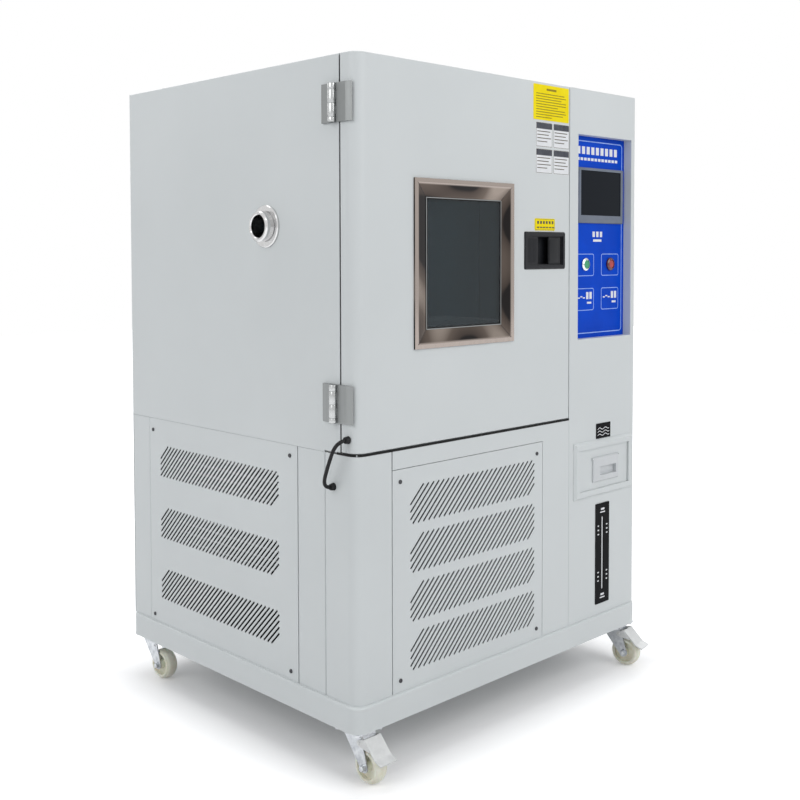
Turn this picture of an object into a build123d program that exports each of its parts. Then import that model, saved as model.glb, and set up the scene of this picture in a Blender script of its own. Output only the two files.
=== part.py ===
from build123d import *
from math import cos, radians, sin
import os

os.makedirs("parts", exist_ok=True)

# Environmental test chamber on casters, in millimetres. +X is right, +Y is back, +Z is up.
# Places are given as u, the distance from the left side, v, the distance back from the front face,
# and z, the height above the floor.

# Cabinet
body_width = 1000.0
body_depth = 865.0
caster_height = 110.0
plinth_height = 55.0
plinth_proud = 8.0
plinth_corner_radius = 30.0
plinth_sheet = 2.5
lower_height = 519.0
deck_thickness = 4.0
upper_height = 820.0
sheet = 1.5
edge_radius = 2.0
corner_radius = 28.0
column_corner_radius = 8.0
seam = 1.0
post_return = 18.0
panel_fold = 10.8

# What stands out past the body, which sets the centre of the whole outline
port_reach = 25.0
pedal_reach = 50.0
rear_fitting_reach = 22.0

left_x = -body_width / 2 + (port_reach - plinth_proud) / 2
front_y = -body_depth / 2 + (pedal_reach - rear_fitting_reach) / 2

plinth_bottom = caster_height
plinth_top = plinth_bottom + plinth_height
lower_top = plinth_top + lower_height
upper_bottom = lower_top + deck_thickness
body_top = upper_bottom + upper_height

# Door
door_width = 710.5
door_thickness = 45.5
door_sheet = 1.5
door_side_gap = 2.5
door_lift = 1.5
door_bottom = upper_bottom + door_lift
seal_gap = 4.5
seal_thickness = 4.2
seal_width = 14.0
seal_margin = 14.0
outer_seal_inset = 6.0
outer_seal_width = 10.0
liner_sheet = 1.2

# Chamber
chamber_width = 500.0
chamber_height = 600.0
chamber_depth = 500.0
chamber_left = 106.0
chamber_bottom = upper_bottom + 100.0
plenum_depth = 110.0
rear_insulation = 100.0
plug_depth = 29.5
plug_clearance = 4.0
duct_sheet = 1.2

# Window, measured on the door's face
window_left = 166.0
window_right = 494.0
window_bottom = upper_bottom + 207.0
window_height = 366.0
window_bevel = 40.0
window_lip = 9.0
window_proud = 4.0
window_glass_depth = 3.0
frame_wall = 2.0
outer_pane = 6.0
inner_pane = 5.0

# Handle
handle_left = 535.0
handle_width = 157.0
handle_bottom = upper_bottom + 373.0
handle_height = 90.0
handle_proud = 3.5
handle_rim = 8.0
handle_depth = 22.0
handle_wall = 2.5
paddle_width = 50.0
paddle_thickness = 5.0
paddle_gap = 1.0
finger_width = 43.0
finger_margin = 12.0
paddle_pin_radius = 2.5
pin_clearance = 0.05
lever_radius = 22.0
lever_thickness = 4.0
lever_height = 8.0
bolt_height = 16.0
bolt_thickness = 12.0
bolt_depth = 25.5
bolt_clearance = 1.0

# Hinges
hinge_height = 80.0
hinge_bottoms = (upper_bottom + 62.0, upper_bottom + 680.0)
hinge_axis_v = 61.5
hinge_axis_out = 9.0
knuckle_radius = 8.5
knuckle_gap = 0.4
leaf_thickness = 6.0
leaf_gap = 0.5
door_leaf_front = 9.0
body_leaf_back = 98.0
hinge_pin_radius = 3.0

# Control column
column_left = door_width + door_side_gap
column_fold = 45.0
recess_left = 747.0
recess_right = 979.0
recess_bottom = upper_bottom + 195.0
recess_top = upper_bottom + 708.0
recess_depth = 23.0
control_panel_sheet = 2.0
control_panel_overlap = 5.0
screen_left = 774.6
screen_width = 195.0
screen_bottom = upper_bottom + 488.0
screen_height = 141.0
screen_proud = 5.0
screen_side_rim = 9.0
screen_low_rim = 20.0
screen_top_rim = 7.0
button_places = {"start": 808.0, "stop": 917.0}
button_height = upper_bottom + 383.0
button_radius = 10.5
button_clearance = 0.3
button_rim = 3.5
button_barrel_radius = 11.8
button_barrel_depth = 25.0

# Water drawer
drawer_frame_left = 731.0
drawer_frame_width = 252.0
drawer_frame_bottom = plinth_top + 312.0
drawer_frame_height = 144.0
drawer_frame_proud = 8.0
drawer_frame_bevel = 6.0
drawer_rim = 19.0
drawer_wall = 2.0
drawer_sleeve_depth = 245.0
drawer_clearance = 1.5
drawer_front_thickness = 14.0
drawer_face_proud = 3.0
drawer_depth = 225.0
drawer_side_height = 82.0
drawer_runner_gap = 0.3
latch_left = 807.0
latch_width = 110.0
latch_bottom = plinth_top + 349.0
latch_height = 63.0
latch_proud = 5.0
latch_cup_left = 836.0
latch_cup_width = 70.0
latch_cup_bottom = plinth_top + 364.0
latch_cup_height = 23.0
latch_cup_depth = 10.0
latch_wall = 1.5
latch_pin_radius = 1.2
latch_pin_inset = 2.5
latch_ear = 3.0
latch_ear_gap = 0.5
latch_face_gap = 0.3

# Level gauge
gauge_left = 826.0
gauge_width = 59.0
gauge_bottom = plinth_top + 28.0
gauge_height = 261.0
gauge_thickness = 2.0
gauge_slot_width = 8.0
gauge_slot_margin = 34.0
tube_radius = 5.0

# Test port
port_v = 294.0
port_z = upper_bottom + 472.0
port_bore_radius = 25.0
port_tube_radius = 27.5
port_ring_radius = 34.0
port_flange_radius = 47.0
port_flange_thickness = 6.0
port_inner_flange = 2.0

# Machine-room panels
cover_front_width = 102.0
cover_side_width = 100.0
front_panel_right = 607.0
front_panel_height = 478.0
side_panel_front = 191.0
side_panel_back = 784.0
panel_gap = 1.5
slot_width = 4.6
front_slots = {"first": 53.0, "width": 421.0, "pitch": 16.2, "height": 82.0}
front_rows = [38.0, 144.0, 250.0, 356.0]
side_slots = {"first": 66.0, "width": 479.0, "pitch": 14.1, "height": 79.0}
side_rows = [64.0, 219.5, 375.0]
shortest_slot = 0.3

# Casters
caster_inset = 45.0
caster_plate_size = 80.0
caster_plate_thickness = 3.0
caster_pad_thickness = 5.0
race_radius = 23.0
race_depth = 9.0
kingpin_radius = 5.0
kingpin_head = 8.0
fork_top = 4.0
fork_half_gap = 18.0
fork_leg = 3.0
fork_front = 28.0
fork_back = 24.0
wheel_radius = 37.5
wheel_width = 32.0
wheel_trail = 38.0
hub_radius = 11.0
axle_radius = 5.0
axle_head_radius = 8.0
axle_head = 4.0
side_play = 0.3
pedal_sheet = 2.5
pedal_pivot = (26.0, -24.0)
pedal_pin_radius = 3.0

# Machinery
shaft_radius = 8.0
shaft_hole_radius = 9.5
fan_height = chamber_bottom + 440.0
fan_radius = 90.0
condenser_v = 450.0
condenser_z = plinth_top + 270.0
condenser_width = 380.0
condenser_height = 440.0
condenser_depth = 44.0
condenser_gap = 30.0
shroud_depth = 46.0
fan_opening = 150.0


def front(depth=0.0):
    """Plane parallel to the front face: x is u, y is z, and the normal points out of the front."""
    return Plane(origin=(left_x, front_y + depth, 0), x_dir=(1, 0, 0), z_dir=(0, -1, 0))


def side(depth=0.0):
    """Plane parallel to the left side: x is v, y is z, and the normal points into the cabinet."""
    return Plane(origin=(left_x + depth, front_y, 0), x_dir=(0, 1, 0), z_dir=(1, 0, 0))


def level(height):
    """Horizontal plane: x is u and y is v."""
    return Plane(origin=(left_x, front_y, height))


def at(u, v, z):
    return (left_x + u, front_y + v, z)


def area(u0, u1, v0, v1, radius=0.0, mode=Mode.ADD):
    """Rectangle between two corners, in the sketch that is open."""
    with Locations(((u0 + u1) / 2, (v0 + v1) / 2)):
        if radius:
            RectangleRounded(u1 - u0, v1 - v0, radius, mode=mode)
        else:
            Rectangle(u1 - u0, v1 - v0, mode=mode)


def slanted_slots(start_u, row_heights, slots, lean=1):
    """Slots at 45 degrees across each row, in groups of one length, cut short at the row's ends."""
    width, pitch, height = slots["width"], slots["pitch"], slots["height"]
    groups = {}
    offset_u = pitch * 0.5 - height
    while offset_u < width:
        low = max(0.0, -offset_u)
        high = min(height, width - offset_u)
        if high - low > shortest_slot * height:
            length = round((high - low) * 2**0.5, 3)
            middle = (low + high) / 2
            along = offset_u + middle if lean > 0 else width - offset_u - middle
            for row in row_heights:
                place = Location((start_u + along, plinth_top + row + middle, 0), (0, 0, 45 * lean))
                groups.setdefault(length, []).append(place)
        offset_u += pitch
    return groups


# Base frame: a folded tray, open below, with a pad for each caster
caster_places = {
    "front_left": (caster_inset - plinth_proud, caster_inset - plinth_proud, -90.0, True),
    "front_right": (body_width + plinth_proud - caster_inset, caster_inset - plinth_proud, -80.0, True),
    "rear_left": (caster_inset - plinth_proud, body_depth + plinth_proud - caster_inset, -86.0, False),
    "rear_right": (
        body_width + plinth_proud - caster_inset,
        body_depth + plinth_proud - caster_inset,
        -90.0,
        False,
    ),
}
pad_size = 2 * (caster_inset - plinth_sheet + 0.5)
with BuildPart() as base_frame:
    with BuildSketch(level(plinth_bottom)):
        area(
            -plinth_proud,
            body_width + plinth_proud,
            -plinth_proud,
            body_depth + plinth_proud,
            plinth_corner_radius,
        )
    extrude(amount=plinth_height)
    fillet(base_frame.faces().sort_by(Axis.Z)[-1].edges(), 2 * edge_radius)
    offset(amount=-plinth_sheet, openings=base_frame.faces().sort_by(Axis.Z)[0])
    with BuildSketch(level(plinth_bottom)):
        for u, v, heading, braked in caster_places.values():
            with Locations((u, v)):
                RectangleRounded(pad_size, pad_size, plinth_corner_radius - plinth_sheet)
    extrude(amount=caster_pad_thickness)
base_frame.part.label = "base_frame"
export_step(base_frame.part, "parts/base_frame.step")

# Caster top plates with their races and kingpins
with BuildPart() as caster_plates:
    for u, v, heading, braked in caster_places.values():
        with BuildSketch(level(plinth_bottom)):
            with Locations((u, v)):
                RectangleRounded(caster_plate_size, caster_plate_size, 8)
        extrude(amount=-caster_plate_thickness)
        with BuildSketch(level(plinth_bottom - caster_plate_thickness)):
            with Locations((u, v)):
                Circle(race_radius)
        extrude(amount=-(race_depth - caster_plate_thickness))
        kingpin_length = fork_top + side_play
        with BuildSketch(level(plinth_bottom - race_depth)):
            with Locations((u, v)):
                Circle(kingpin_radius)
        extrude(amount=-kingpin_length)
        with BuildSketch(level(plinth_bottom - race_depth - kingpin_length)):
            with Locations((u, v)):
                Circle(kingpin_head)
        extrude(amount=-4)
caster_plates.part.label = "caster_plates"
export_step(caster_plates.part, "parts/caster_plates.step")

# Caster parts are drawn with the pivot at the origin, under the plinth, and the wheel out along +X
axle_z = wheel_radius - caster_height
fork_half_width = fork_half_gap + fork_leg
with BuildPart() as fork:
    with BuildSketch(Plane.XZ.offset(-fork_half_width)):
        with Locations(((fork_front - fork_back) / 2, -race_depth - fork_top / 2)):
            Rectangle(fork_front + fork_back, fork_top)
        with Locations((wheel_trail, axle_z)):
            Circle(hub_radius)
        make_hull()
    extrude(amount=2 * fork_half_width)
    with BuildSketch(Plane.XZ.offset(-fork_half_gap)):
        with Locations((wheel_trail, axle_z - race_depth)):
            Rectangle(4 * wheel_radius, 2 * (-axle_z - fork_top))
    extrude(amount=2 * fork_half_gap, mode=Mode.SUBTRACT)
    with BuildSketch(Plane.XY.offset(-race_depth)):
        Circle(kingpin_radius + pin_clearance)
    extrude(amount=-fork_top, mode=Mode.SUBTRACT)
    with BuildSketch(Plane.XZ.offset(-fork_half_width)):
        with Locations((wheel_trail, axle_z)):
            Circle(axle_radius + pin_clearance)
        with Locations(pedal_pivot):
            Circle(pedal_pin_radius + pin_clearance)
    extrude(amount=2 * fork_half_width, mode=Mode.SUBTRACT)

with BuildPart() as axle:
    head_start = fork_half_width + pin_clearance
    with BuildSketch():
        area(0, axle_radius, -head_start, head_start)
        area(0, axle_head_radius, head_start, head_start + axle_head)
        area(0, axle_head_radius, -head_start - axle_head, -head_start)
    revolve(axis=Axis.Y)

wheel_half = wheel_width / 2
hub_half = fork_half_gap - side_play
with BuildPart() as wheel:
    with BuildSketch():
        area(axle_radius + pin_clearance, hub_radius, -hub_half, hub_half)
        area(hub_radius - 1, wheel_radius - 10, -6, 6)
        with BuildLine():
            Polyline(
                (wheel_radius - 11, -wheel_half),
                (wheel_radius - 6, -wheel_half),
                (wheel_radius - 1.5, -wheel_half * 0.62),
            )
            ThreePointArc(
                (wheel_radius - 1.5, -wheel_half * 0.62),
                (wheel_radius, 0),
                (wheel_radius - 1.5, wheel_half * 0.62),
            )
            Polyline(
                (wheel_radius - 1.5, wheel_half * 0.62),
                (wheel_radius - 6, wheel_half),
                (wheel_radius - 11, wheel_half),
                (wheel_radius - 11, -wheel_half),
            )
        make_face()
    revolve(axis=Axis.Y)

pedal_top = (42.0, -12.0)
pedal_bend = (74.0, -45.0)
pedal_tip = (92.0, -52.0)
ear_inner = fork_half_width + 0.4
ear_outer = ear_inner + 2.0
with BuildPart() as pedal:
    with BuildSketch(Plane.XZ.offset(-ear_outer)):
        with BuildLine():
            FilletPolyline(pedal_top, pedal_bend, pedal_tip, radius=6)
            offset(amount=pedal_sheet, side=Side.RIGHT)
        make_face()
    extrude(amount=2 * ear_outer)
    for plane, direction in ((Plane.XZ.offset(-ear_outer), 1), (Plane.XZ.offset(ear_outer), -1)):
        with BuildSketch(plane):
            with Locations(pedal_pivot):
                Circle(6.5)
            with BuildLine():
                Polyline((41.0, -12.5), (60.0, -32.0), (57.0, -35.0), (38.0, -15.5), close=True)
            make_face()
            make_hull()
        extrude(amount=direction * (ear_outer - ear_inner))
    with BuildSketch(Plane.XZ.offset(-ear_outer - 1.5)):
        with Locations(pedal_pivot):
            Circle(pedal_pin_radius)
    extrude(amount=2 * (ear_outer + 1.5))

for place, (u, v, heading, braked) in caster_places.items():
    spot = Location(at(u, v, plinth_bottom), (0, 0, heading))
    hub_spot = spot * Location((wheel_trail, 0, axle_z))
    placed_fork = Compound(children=[fork.part.moved(spot), axle.part.moved(hub_spot)])
    placed_fork.label = f"caster_fork_{place}"
    export_step(placed_fork, f"parts/caster_fork_{place}.step")
    placed_wheel = wheel.part.moved(hub_spot)
    placed_wheel.label = f"caster_wheel_{place}"
    export_step(placed_wheel, f"parts/caster_wheel_{place}.step")
    if braked:
        placed_pedal = pedal.part.moved(spot)
        placed_pedal.label = f"caster_brake_{place}"
        export_step(placed_pedal, f"parts/caster_brake_{place}.step")

# Corner and frame posts of the machine room, each a folded sheet
with BuildPart() as lower_posts:
    with BuildSketch(level(plinth_top)):
        with BuildLine():
            FilletPolyline(
                (post_return, cover_side_width - seam),
                (0, cover_side_width - seam),
                (0, 0),
                (cover_front_width - seam, 0),
                (cover_front_width - seam, post_return),
                radius=[sheet * 2, corner_radius, sheet * 2],
            )
            offset(amount=sheet, side=Side.LEFT)
        make_face()
    extrude(amount=lower_height)
    with BuildSketch(level(plinth_top)):
        with BuildLine():
            FilletPolyline(
                (post_return, side_panel_front - panel_gap),
                (0, side_panel_front - panel_gap),
                (0, cover_side_width),
                (post_return, cover_side_width),
                radius=sheet * 2,
            )
            offset(amount=sheet, side=Side.LEFT)
        make_face()
    extrude(amount=lower_height)
    for mirrored in (False, True):
        edge = body_width if mirrored else 0.0
        inward = -1.0 if mirrored else 1.0
        with BuildSketch(level(plinth_top)):
            with BuildLine():
                FilletPolyline(
                    (edge + inward * post_return, side_panel_back + panel_gap),
                    (edge, side_panel_back + panel_gap),
                    (edge, body_depth - sheet),
                    (edge + inward * post_return, body_depth - sheet),
                    radius=sheet * 2,
                )
                offset(amount=sheet, side=Side.LEFT if mirrored else Side.RIGHT)
            make_face()
        extrude(amount=lower_height)
lower_posts.part.label = "lower_posts"
export_step(lower_posts.part, "parts/lower_posts.step")

# Front frame of the machine room: a rail over the panel and a strip beside it
front_panel_top = plinth_top + front_panel_height
with BuildPart() as lower_front_frame:
    with BuildSketch(front()):
        area(cover_front_width, column_left - seam, plinth_top, lower_top)
        area(
            cover_front_width - 1,
            front_panel_right + panel_gap,
            plinth_top - 1,
            front_panel_top + panel_gap,
            mode=Mode.SUBTRACT,
        )
    extrude(amount=-sheet)
    with BuildSketch(front(sheet)):
        area(cover_front_width, column_left - seam, lower_top - sheet, lower_top)
        area(
            cover_front_width,
            front_panel_right + panel_gap + sheet,
            front_panel_top + panel_gap,
            front_panel_top + panel_gap + sheet,
        )
        area(
            front_panel_right + panel_gap,
            front_panel_right + panel_gap + sheet,
            plinth_top,
            front_panel_top + panel_gap + sheet,
        )
    extrude(amount=-post_return)
lower_front_frame.part.label = "lower_front_frame"
export_step(lower_front_frame.part, "parts/lower_front_frame.step")

# Front panel, with four rows of slanted slots and folded edges
with BuildPart() as front_grille_panel:
    with BuildSketch(front()):
        area(cover_front_width, front_panel_right, plinth_top, front_panel_top)
        groups = slanted_slots(cover_front_width + front_slots["first"], front_rows, front_slots)
        for length, places in groups.items():
            with Locations(*places):
                Rectangle(length, slot_width, mode=Mode.SUBTRACT)
    extrude(amount=-sheet)
    with BuildSketch(front(sheet)):
        area(cover_front_width, front_panel_right, plinth_top, front_panel_top)
        area(
            cover_front_width + sheet,
            front_panel_right - sheet,
            plinth_top + sheet,
            front_panel_top - sheet,
            mode=Mode.SUBTRACT,
        )
    extrude(amount=-panel_fold)
front_grille_panel.part.label = "front_grille_panel"
export_step(front_grille_panel.part, "parts/front_grille_panel.step")

# Side panels, with three rows each, leaning to the right as seen from outside
side_panel_top = lower_top
for name, depth, inward, lean in (("left_grille_panel", 0.0, 1.0, -1), ("right_grille_panel", body_width, -1.0, 1)):
    with BuildPart() as side_grille_panel:
        with BuildSketch(side(depth)):
            area(side_panel_front, side_panel_back, plinth_top, side_panel_top)
            groups = slanted_slots(side_panel_front + side_slots["first"], side_rows, side_slots, lean)
            for length, places in groups.items():
                with Locations(*places):
                    Rectangle(length, slot_width, mode=Mode.SUBTRACT)
        extrude(amount=inward * sheet)
        with BuildSketch(side(depth + inward * sheet)):
            area(side_panel_front, side_panel_back, plinth_top, side_panel_top)
            area(
                side_panel_front + sheet,
                side_panel_back - sheet,
                plinth_top + sheet,
                side_panel_top - sheet,
                mode=Mode.SUBTRACT,
            )
        extrude(amount=inward * panel_fold)
    side_grille_panel.part.label = name
    export_step(side_grille_panel.part, f"parts/{name}.step")

# Right front edge of the machine room is closed by the column; a sheet fills the side behind its fold
with BuildPart() as right_side_strip:
    with BuildSketch(side(body_width)):
        area(column_fold, side_panel_front - panel_gap, plinth_top, lower_top)
    extrude(amount=-sheet)
right_side_strip.part.label = "right_side_strip"
export_step(right_side_strip.part, "parts/right_side_strip.step")

# Deck between the machine room and the insulated cabinet, set back under the door
deck_inset = 7.0
with BuildPart() as machine_deck:
    with BuildSketch(level(lower_top)):
        area(sheet, body_width - sheet, cover_side_width, body_depth - sheet)
        area(deck_inset, column_left, deck_inset, cover_side_width)
    extrude(amount=deck_thickness)
machine_deck.part.label = "machine_deck"
export_step(machine_deck.part, "parts/machine_deck.step")

# Upper cabinet: left side, roof and right side folded from one sheet
opening_v = door_thickness + seal_gap
with BuildPart() as upper_wrap:
    with BuildSketch(front(opening_v)):
        area(0, body_width, upper_bottom, body_top)
        area(sheet, body_width - sheet, upper_bottom, body_top - sheet, mode=Mode.SUBTRACT)
    extrude(amount=-(body_depth - sheet - opening_v))
    with BuildSketch(front(column_fold)):
        area(column_left, body_width, upper_bottom, body_top)
        area(column_left, body_width - sheet, upper_bottom, body_top - sheet, mode=Mode.SUBTRACT)
    extrude(amount=-(opening_v - column_fold))
    for depth, inward, start in ((0.0, 1.0, cover_side_width), (body_width, -1.0, column_fold)):
        with BuildSketch(side(depth)):
            area(start, body_depth - sheet, lower_top + seam, upper_bottom)
        extrude(amount=inward * sheet)
    along_roof = upper_wrap.edges().filter_by(Axis.Y)
    along_roof = along_roof.filter_by(lambda edge: edge.center().Z > body_top - seam)
    along_roof = along_roof.sort_by(Axis.X)
    roof_edges = [along_roof[0], along_roof[-1]]
    fillet(roof_edges, edge_radius)
    with BuildSketch(side()):
        with Locations((port_v, port_z)):
            Circle(port_tube_radius)
    extrude(amount=sheet, mode=Mode.SUBTRACT)
upper_wrap.part.label = "upper_wrap"
export_step(upper_wrap.part, "parts/upper_wrap.step")

# Rear panel, with vents over the condensing unit, the supply cable's gland and two hose spigots
rear_vent_size = (300.0, 6.0)
rear_vent_pitch = 24.0
rear_vents = (body_width / 2, plinth_top + 260.0)
gland_place = (body_width - 90.0, plinth_top + 90.0)
gland_radius = 16.0
gland_bore = 6.0
spigot_places = ((90.0, plinth_top + 60.0), (140.0, plinth_top + 60.0))
spigot_radius = 8.0
spigot_bore = 5.0
with BuildPart() as rear_panel:
    with BuildSketch(front(body_depth - sheet)):
        area(0, body_width, plinth_top, body_top)
        with GridLocations(0, rear_vent_pitch, 1, 10):
            with Locations(rear_vents):
                Rectangle(*rear_vent_size, mode=Mode.SUBTRACT)
    extrude(amount=-sheet)
    with BuildSketch(front(body_depth)):
        with Locations(gland_place):
            RegularPolygon(gland_radius, 6)
    extrude(amount=-rear_fitting_reach)
    with BuildSketch(front(body_depth)):
        with Locations(*spigot_places):
            Circle(spigot_radius)
    extrude(amount=-rear_fitting_reach)
    with BuildSketch(front(body_depth + rear_fitting_reach)):
        with Locations(*spigot_places):
            Circle(spigot_bore)
        with Locations(gland_place):
            Circle(gland_bore)
    extrude(amount=rear_fitting_reach + sheet, mode=Mode.SUBTRACT)
rear_panel.part.label = "rear_panel"
export_step(rear_panel.part, "parts/rear_panel.step")

# Chamber: a welded stainless box, open at the front, with a flange that the door closes on
chamber_right = chamber_left + chamber_width
chamber_top = chamber_bottom + chamber_height
chamber_back = opening_v + chamber_depth + plenum_depth
with BuildPart() as chamber_liner:
    with BuildSketch(front(opening_v)):
        area(
            chamber_left - liner_sheet,
            chamber_right + liner_sheet,
            chamber_bottom - liner_sheet,
            chamber_top + liner_sheet,
        )
    extrude(amount=-(chamber_back - opening_v + liner_sheet))
    with BuildSketch(front(opening_v)):
        area(sheet, column_left - sheet, upper_bottom, body_top - sheet)
    extrude(amount=-liner_sheet)
    with BuildSketch(front(opening_v)):
        area(chamber_left, chamber_right, chamber_bottom, chamber_top)
    extrude(amount=-(chamber_back - opening_v), mode=Mode.SUBTRACT)
    with BuildSketch(side(chamber_left - liner_sheet)):
        with Locations((port_v, port_z)):
            Circle(port_tube_radius)
    extrude(amount=liner_sheet, mode=Mode.SUBTRACT)
    fan_u = (chamber_left + chamber_right) / 2
    with BuildSketch(front(chamber_back)):
        with Locations((fan_u, fan_height)):
            Circle(shaft_hole_radius)
    extrude(amount=-liner_sheet, mode=Mode.SUBTRACT)
chamber_liner.part.label = "chamber_liner"
export_step(chamber_liner.part, "parts/chamber_liner.step")

# Foam round the chamber
insulation_back = chamber_back + liner_sheet + rear_insulation
with BuildPart() as insulation_block:
    with BuildSketch(front(opening_v + liner_sheet)):
        area(sheet, column_left - sheet, upper_bottom, body_top - sheet)
    extrude(amount=-(insulation_back - opening_v - liner_sheet))
    with BuildSketch(front(opening_v + liner_sheet)):
        area(
            chamber_left - liner_sheet,
            chamber_right + liner_sheet,
            chamber_bottom - liner_sheet,
            chamber_top + liner_sheet,
        )
    extrude(amount=-(chamber_back - opening_v), mode=Mode.SUBTRACT)
    with BuildSketch(side(sheet)):
        with Locations((port_v, port_z)):
            Circle(port_tube_radius)
    extrude(amount=chamber_left - liner_sheet - sheet, mode=Mode.SUBTRACT)
    with BuildSketch(front(chamber_back + liner_sheet)):
        with Locations((fan_u, fan_height)):
            Circle(shaft_hole_radius)
    extrude(amount=-rear_insulation, mode=Mode.SUBTRACT)
insulation_block.part.label = "insulation_block"
export_step(insulation_block.part, "parts/insulation_block.step")

# Sheet between the chamber and the air plenum behind it: outlet slots above, return slots below
duct_v = opening_v + chamber_depth
with BuildPart() as air_duct_panel:
    with BuildSketch(front(duct_v)):
        area(chamber_left, chamber_right, chamber_bottom, chamber_top)
        with Locations((fan_u, chamber_top - 45), (fan_u, chamber_bottom + 55)):
            with GridLocations(30, 0, 14, 1):
                Rectangle(10, 60, mode=Mode.SUBTRACT)
    extrude(amount=-duct_sheet)
air_duct_panel.part.label = "air_duct_panel"
export_step(air_duct_panel.part, "parts/air_duct_panel.step")

# Shelf rails: four upright strips with a row of slots for the shelf hooks
rail_thickness = 5.0
rail_width = 24.0
rail_places = (opening_v + 110.0, opening_v + 400.0)
rail_margin = 12.0
rail_slot_pitch = 50.0
rail_slot_height = 16.0
rail_middle = (chamber_bottom + chamber_top) / 2
with BuildPart() as shelf_rails:
    for depth, inward in ((chamber_left, 1.0), (chamber_right, -1.0)):
        with BuildSketch(side(depth)):
            for v in rail_places:
                area(
                    v - rail_width / 2,
                    v + rail_width / 2,
                    chamber_bottom + rail_margin,
                    chamber_top - rail_margin,
                )
            with Locations(*[(v, rail_middle) for v in rail_places]):
                with GridLocations(0, rail_slot_pitch, 1, 11):
                    Rectangle(8, rail_slot_height, mode=Mode.SUBTRACT)
        extrude(amount=inward * rail_thickness)
shelf_rails.part.label = "shelf_rails"
export_step(shelf_rails.part, "parts/shelf_rails.step")

# Two wire shelves that rest on hooks in the rails
shelf_rod = 3.5
hook_seat = rail_middle - rail_slot_height / 2 + shelf_rod
shelf_heights = (hook_seat - 5 * rail_slot_pitch, hook_seat + 4 * rail_slot_pitch)
hook_depth = 3.0
shelf_wire = 2.0
shelf_gap = 2.0
shelf_side = chamber_width / 2 - rail_thickness - shelf_gap - shelf_rod
shelf_front = opening_v + 40.0
shelf_back = duct_v - 12.0
shelf_middle = (shelf_front + shelf_back) / 2
shelf_half_depth = (shelf_back - shelf_front) / 2
with BuildPart() as wire_shelves:
    for z in shelf_heights:
        with BuildSketch(level(z - shelf_rod)):
            with Locations((fan_u, shelf_middle)):
                Rectangle(2 * (shelf_side + shelf_rod), 2 * shelf_half_depth)
                Rectangle(
                    2 * (shelf_side - shelf_rod),
                    2 * shelf_half_depth - 4 * shelf_rod,
                    mode=Mode.SUBTRACT,
                )
                Rectangle(2 * shelf_side, 2 * shelf_rod)
        extrude(amount=2 * shelf_rod)
        with BuildSketch(level(z + shelf_rod)):
            with Locations((fan_u, shelf_middle)):
                with GridLocations(30, 0, 16, 1):
                    Rectangle(2 * shelf_wire, 2 * shelf_half_depth - 2 * shelf_rod)
        extrude(amount=-2 * shelf_wire)
        with BuildSketch(level(z - shelf_rod)):
            for v in rail_places:
                for end in (-1, 1):
                    reach = shelf_side + shelf_rod + shelf_gap + hook_depth
                    with Locations((fan_u + end * (shelf_side + reach) / 2, v)):
                        Rectangle(reach - shelf_side, 6)
        extrude(amount=3)
wire_shelves.part.label = "wire_shelves"
export_step(wire_shelves.part, "parts/wire_shelves.step")

# Partition between the foam and the electrical bay
with BuildPart() as column_partition:
    with BuildSketch(side(column_left)):
        area(column_fold, body_depth - sheet, upper_bottom, body_top - sheet)
    extrude(amount=-sheet)
column_partition.part.label = "column_partition"
export_step(column_partition.part, "parts/column_partition.step")

# Front of the control column: a folded tray, with a framed recess for the controls
handle_middle = handle_bottom + handle_height / 2
drawer_frame_right = drawer_frame_left + drawer_frame_width
drawer_frame_top = drawer_frame_bottom + drawer_frame_height
sleeve_left = drawer_frame_left + drawer_rim
sleeve_right = drawer_frame_right - drawer_rim
sleeve_bottom = drawer_frame_bottom + drawer_rim
sleeve_top = drawer_frame_top - drawer_rim
gauge_middle = gauge_left + gauge_width / 2
gauge_top = gauge_bottom + gauge_height
with BuildPart() as column_front:
    with BuildSketch(front()):
        area(column_left, body_width, plinth_top, body_top)
    extrude(amount=-column_fold)
    upright_edges = column_front.edges().filter_by(Axis.Z)
    outer_edge = upright_edges.sort_by(lambda edge: edge.center().X - edge.center().Y)[-1]
    fillet(outer_edge, column_corner_radius)
    upright_edges = column_front.edges().filter_by(Axis.Z)
    inner_edge = upright_edges.sort_by(lambda edge: edge.center().X + edge.center().Y)[0]
    fillet(inner_edge, edge_radius)
    offset(amount=-sheet, openings=column_front.faces().sort_by(Axis.Y)[-1])
    with BuildSketch(front()):
        area(recess_left - sheet, recess_right + sheet, recess_bottom - sheet, recess_top + sheet)
    extrude(amount=-recess_depth)
    with BuildSketch(front()):
        area(recess_left, recess_right, recess_bottom, recess_top)
        area(
            sleeve_left - drawer_wall,
            sleeve_right + drawer_wall,
            sleeve_bottom - drawer_wall,
            sleeve_top + drawer_wall,
        )
        area(
            gauge_middle - tube_radius - 2,
            gauge_middle + tube_radius + 2,
            gauge_bottom + gauge_slot_margin - 12,
            gauge_top - gauge_slot_margin + 12,
        )
    extrude(amount=-recess_depth, mode=Mode.SUBTRACT)
    with BuildSketch(side(column_left)):
        with Locations((bolt_depth + bolt_thickness / 2, handle_middle)):
            Rectangle(bolt_thickness + 2 * bolt_clearance + 1, bolt_height + 2 * bolt_clearance)
    extrude(amount=sheet, mode=Mode.SUBTRACT)
column_front.part.label = "column_front"
export_step(column_front.part, "parts/column_front.step")

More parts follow.
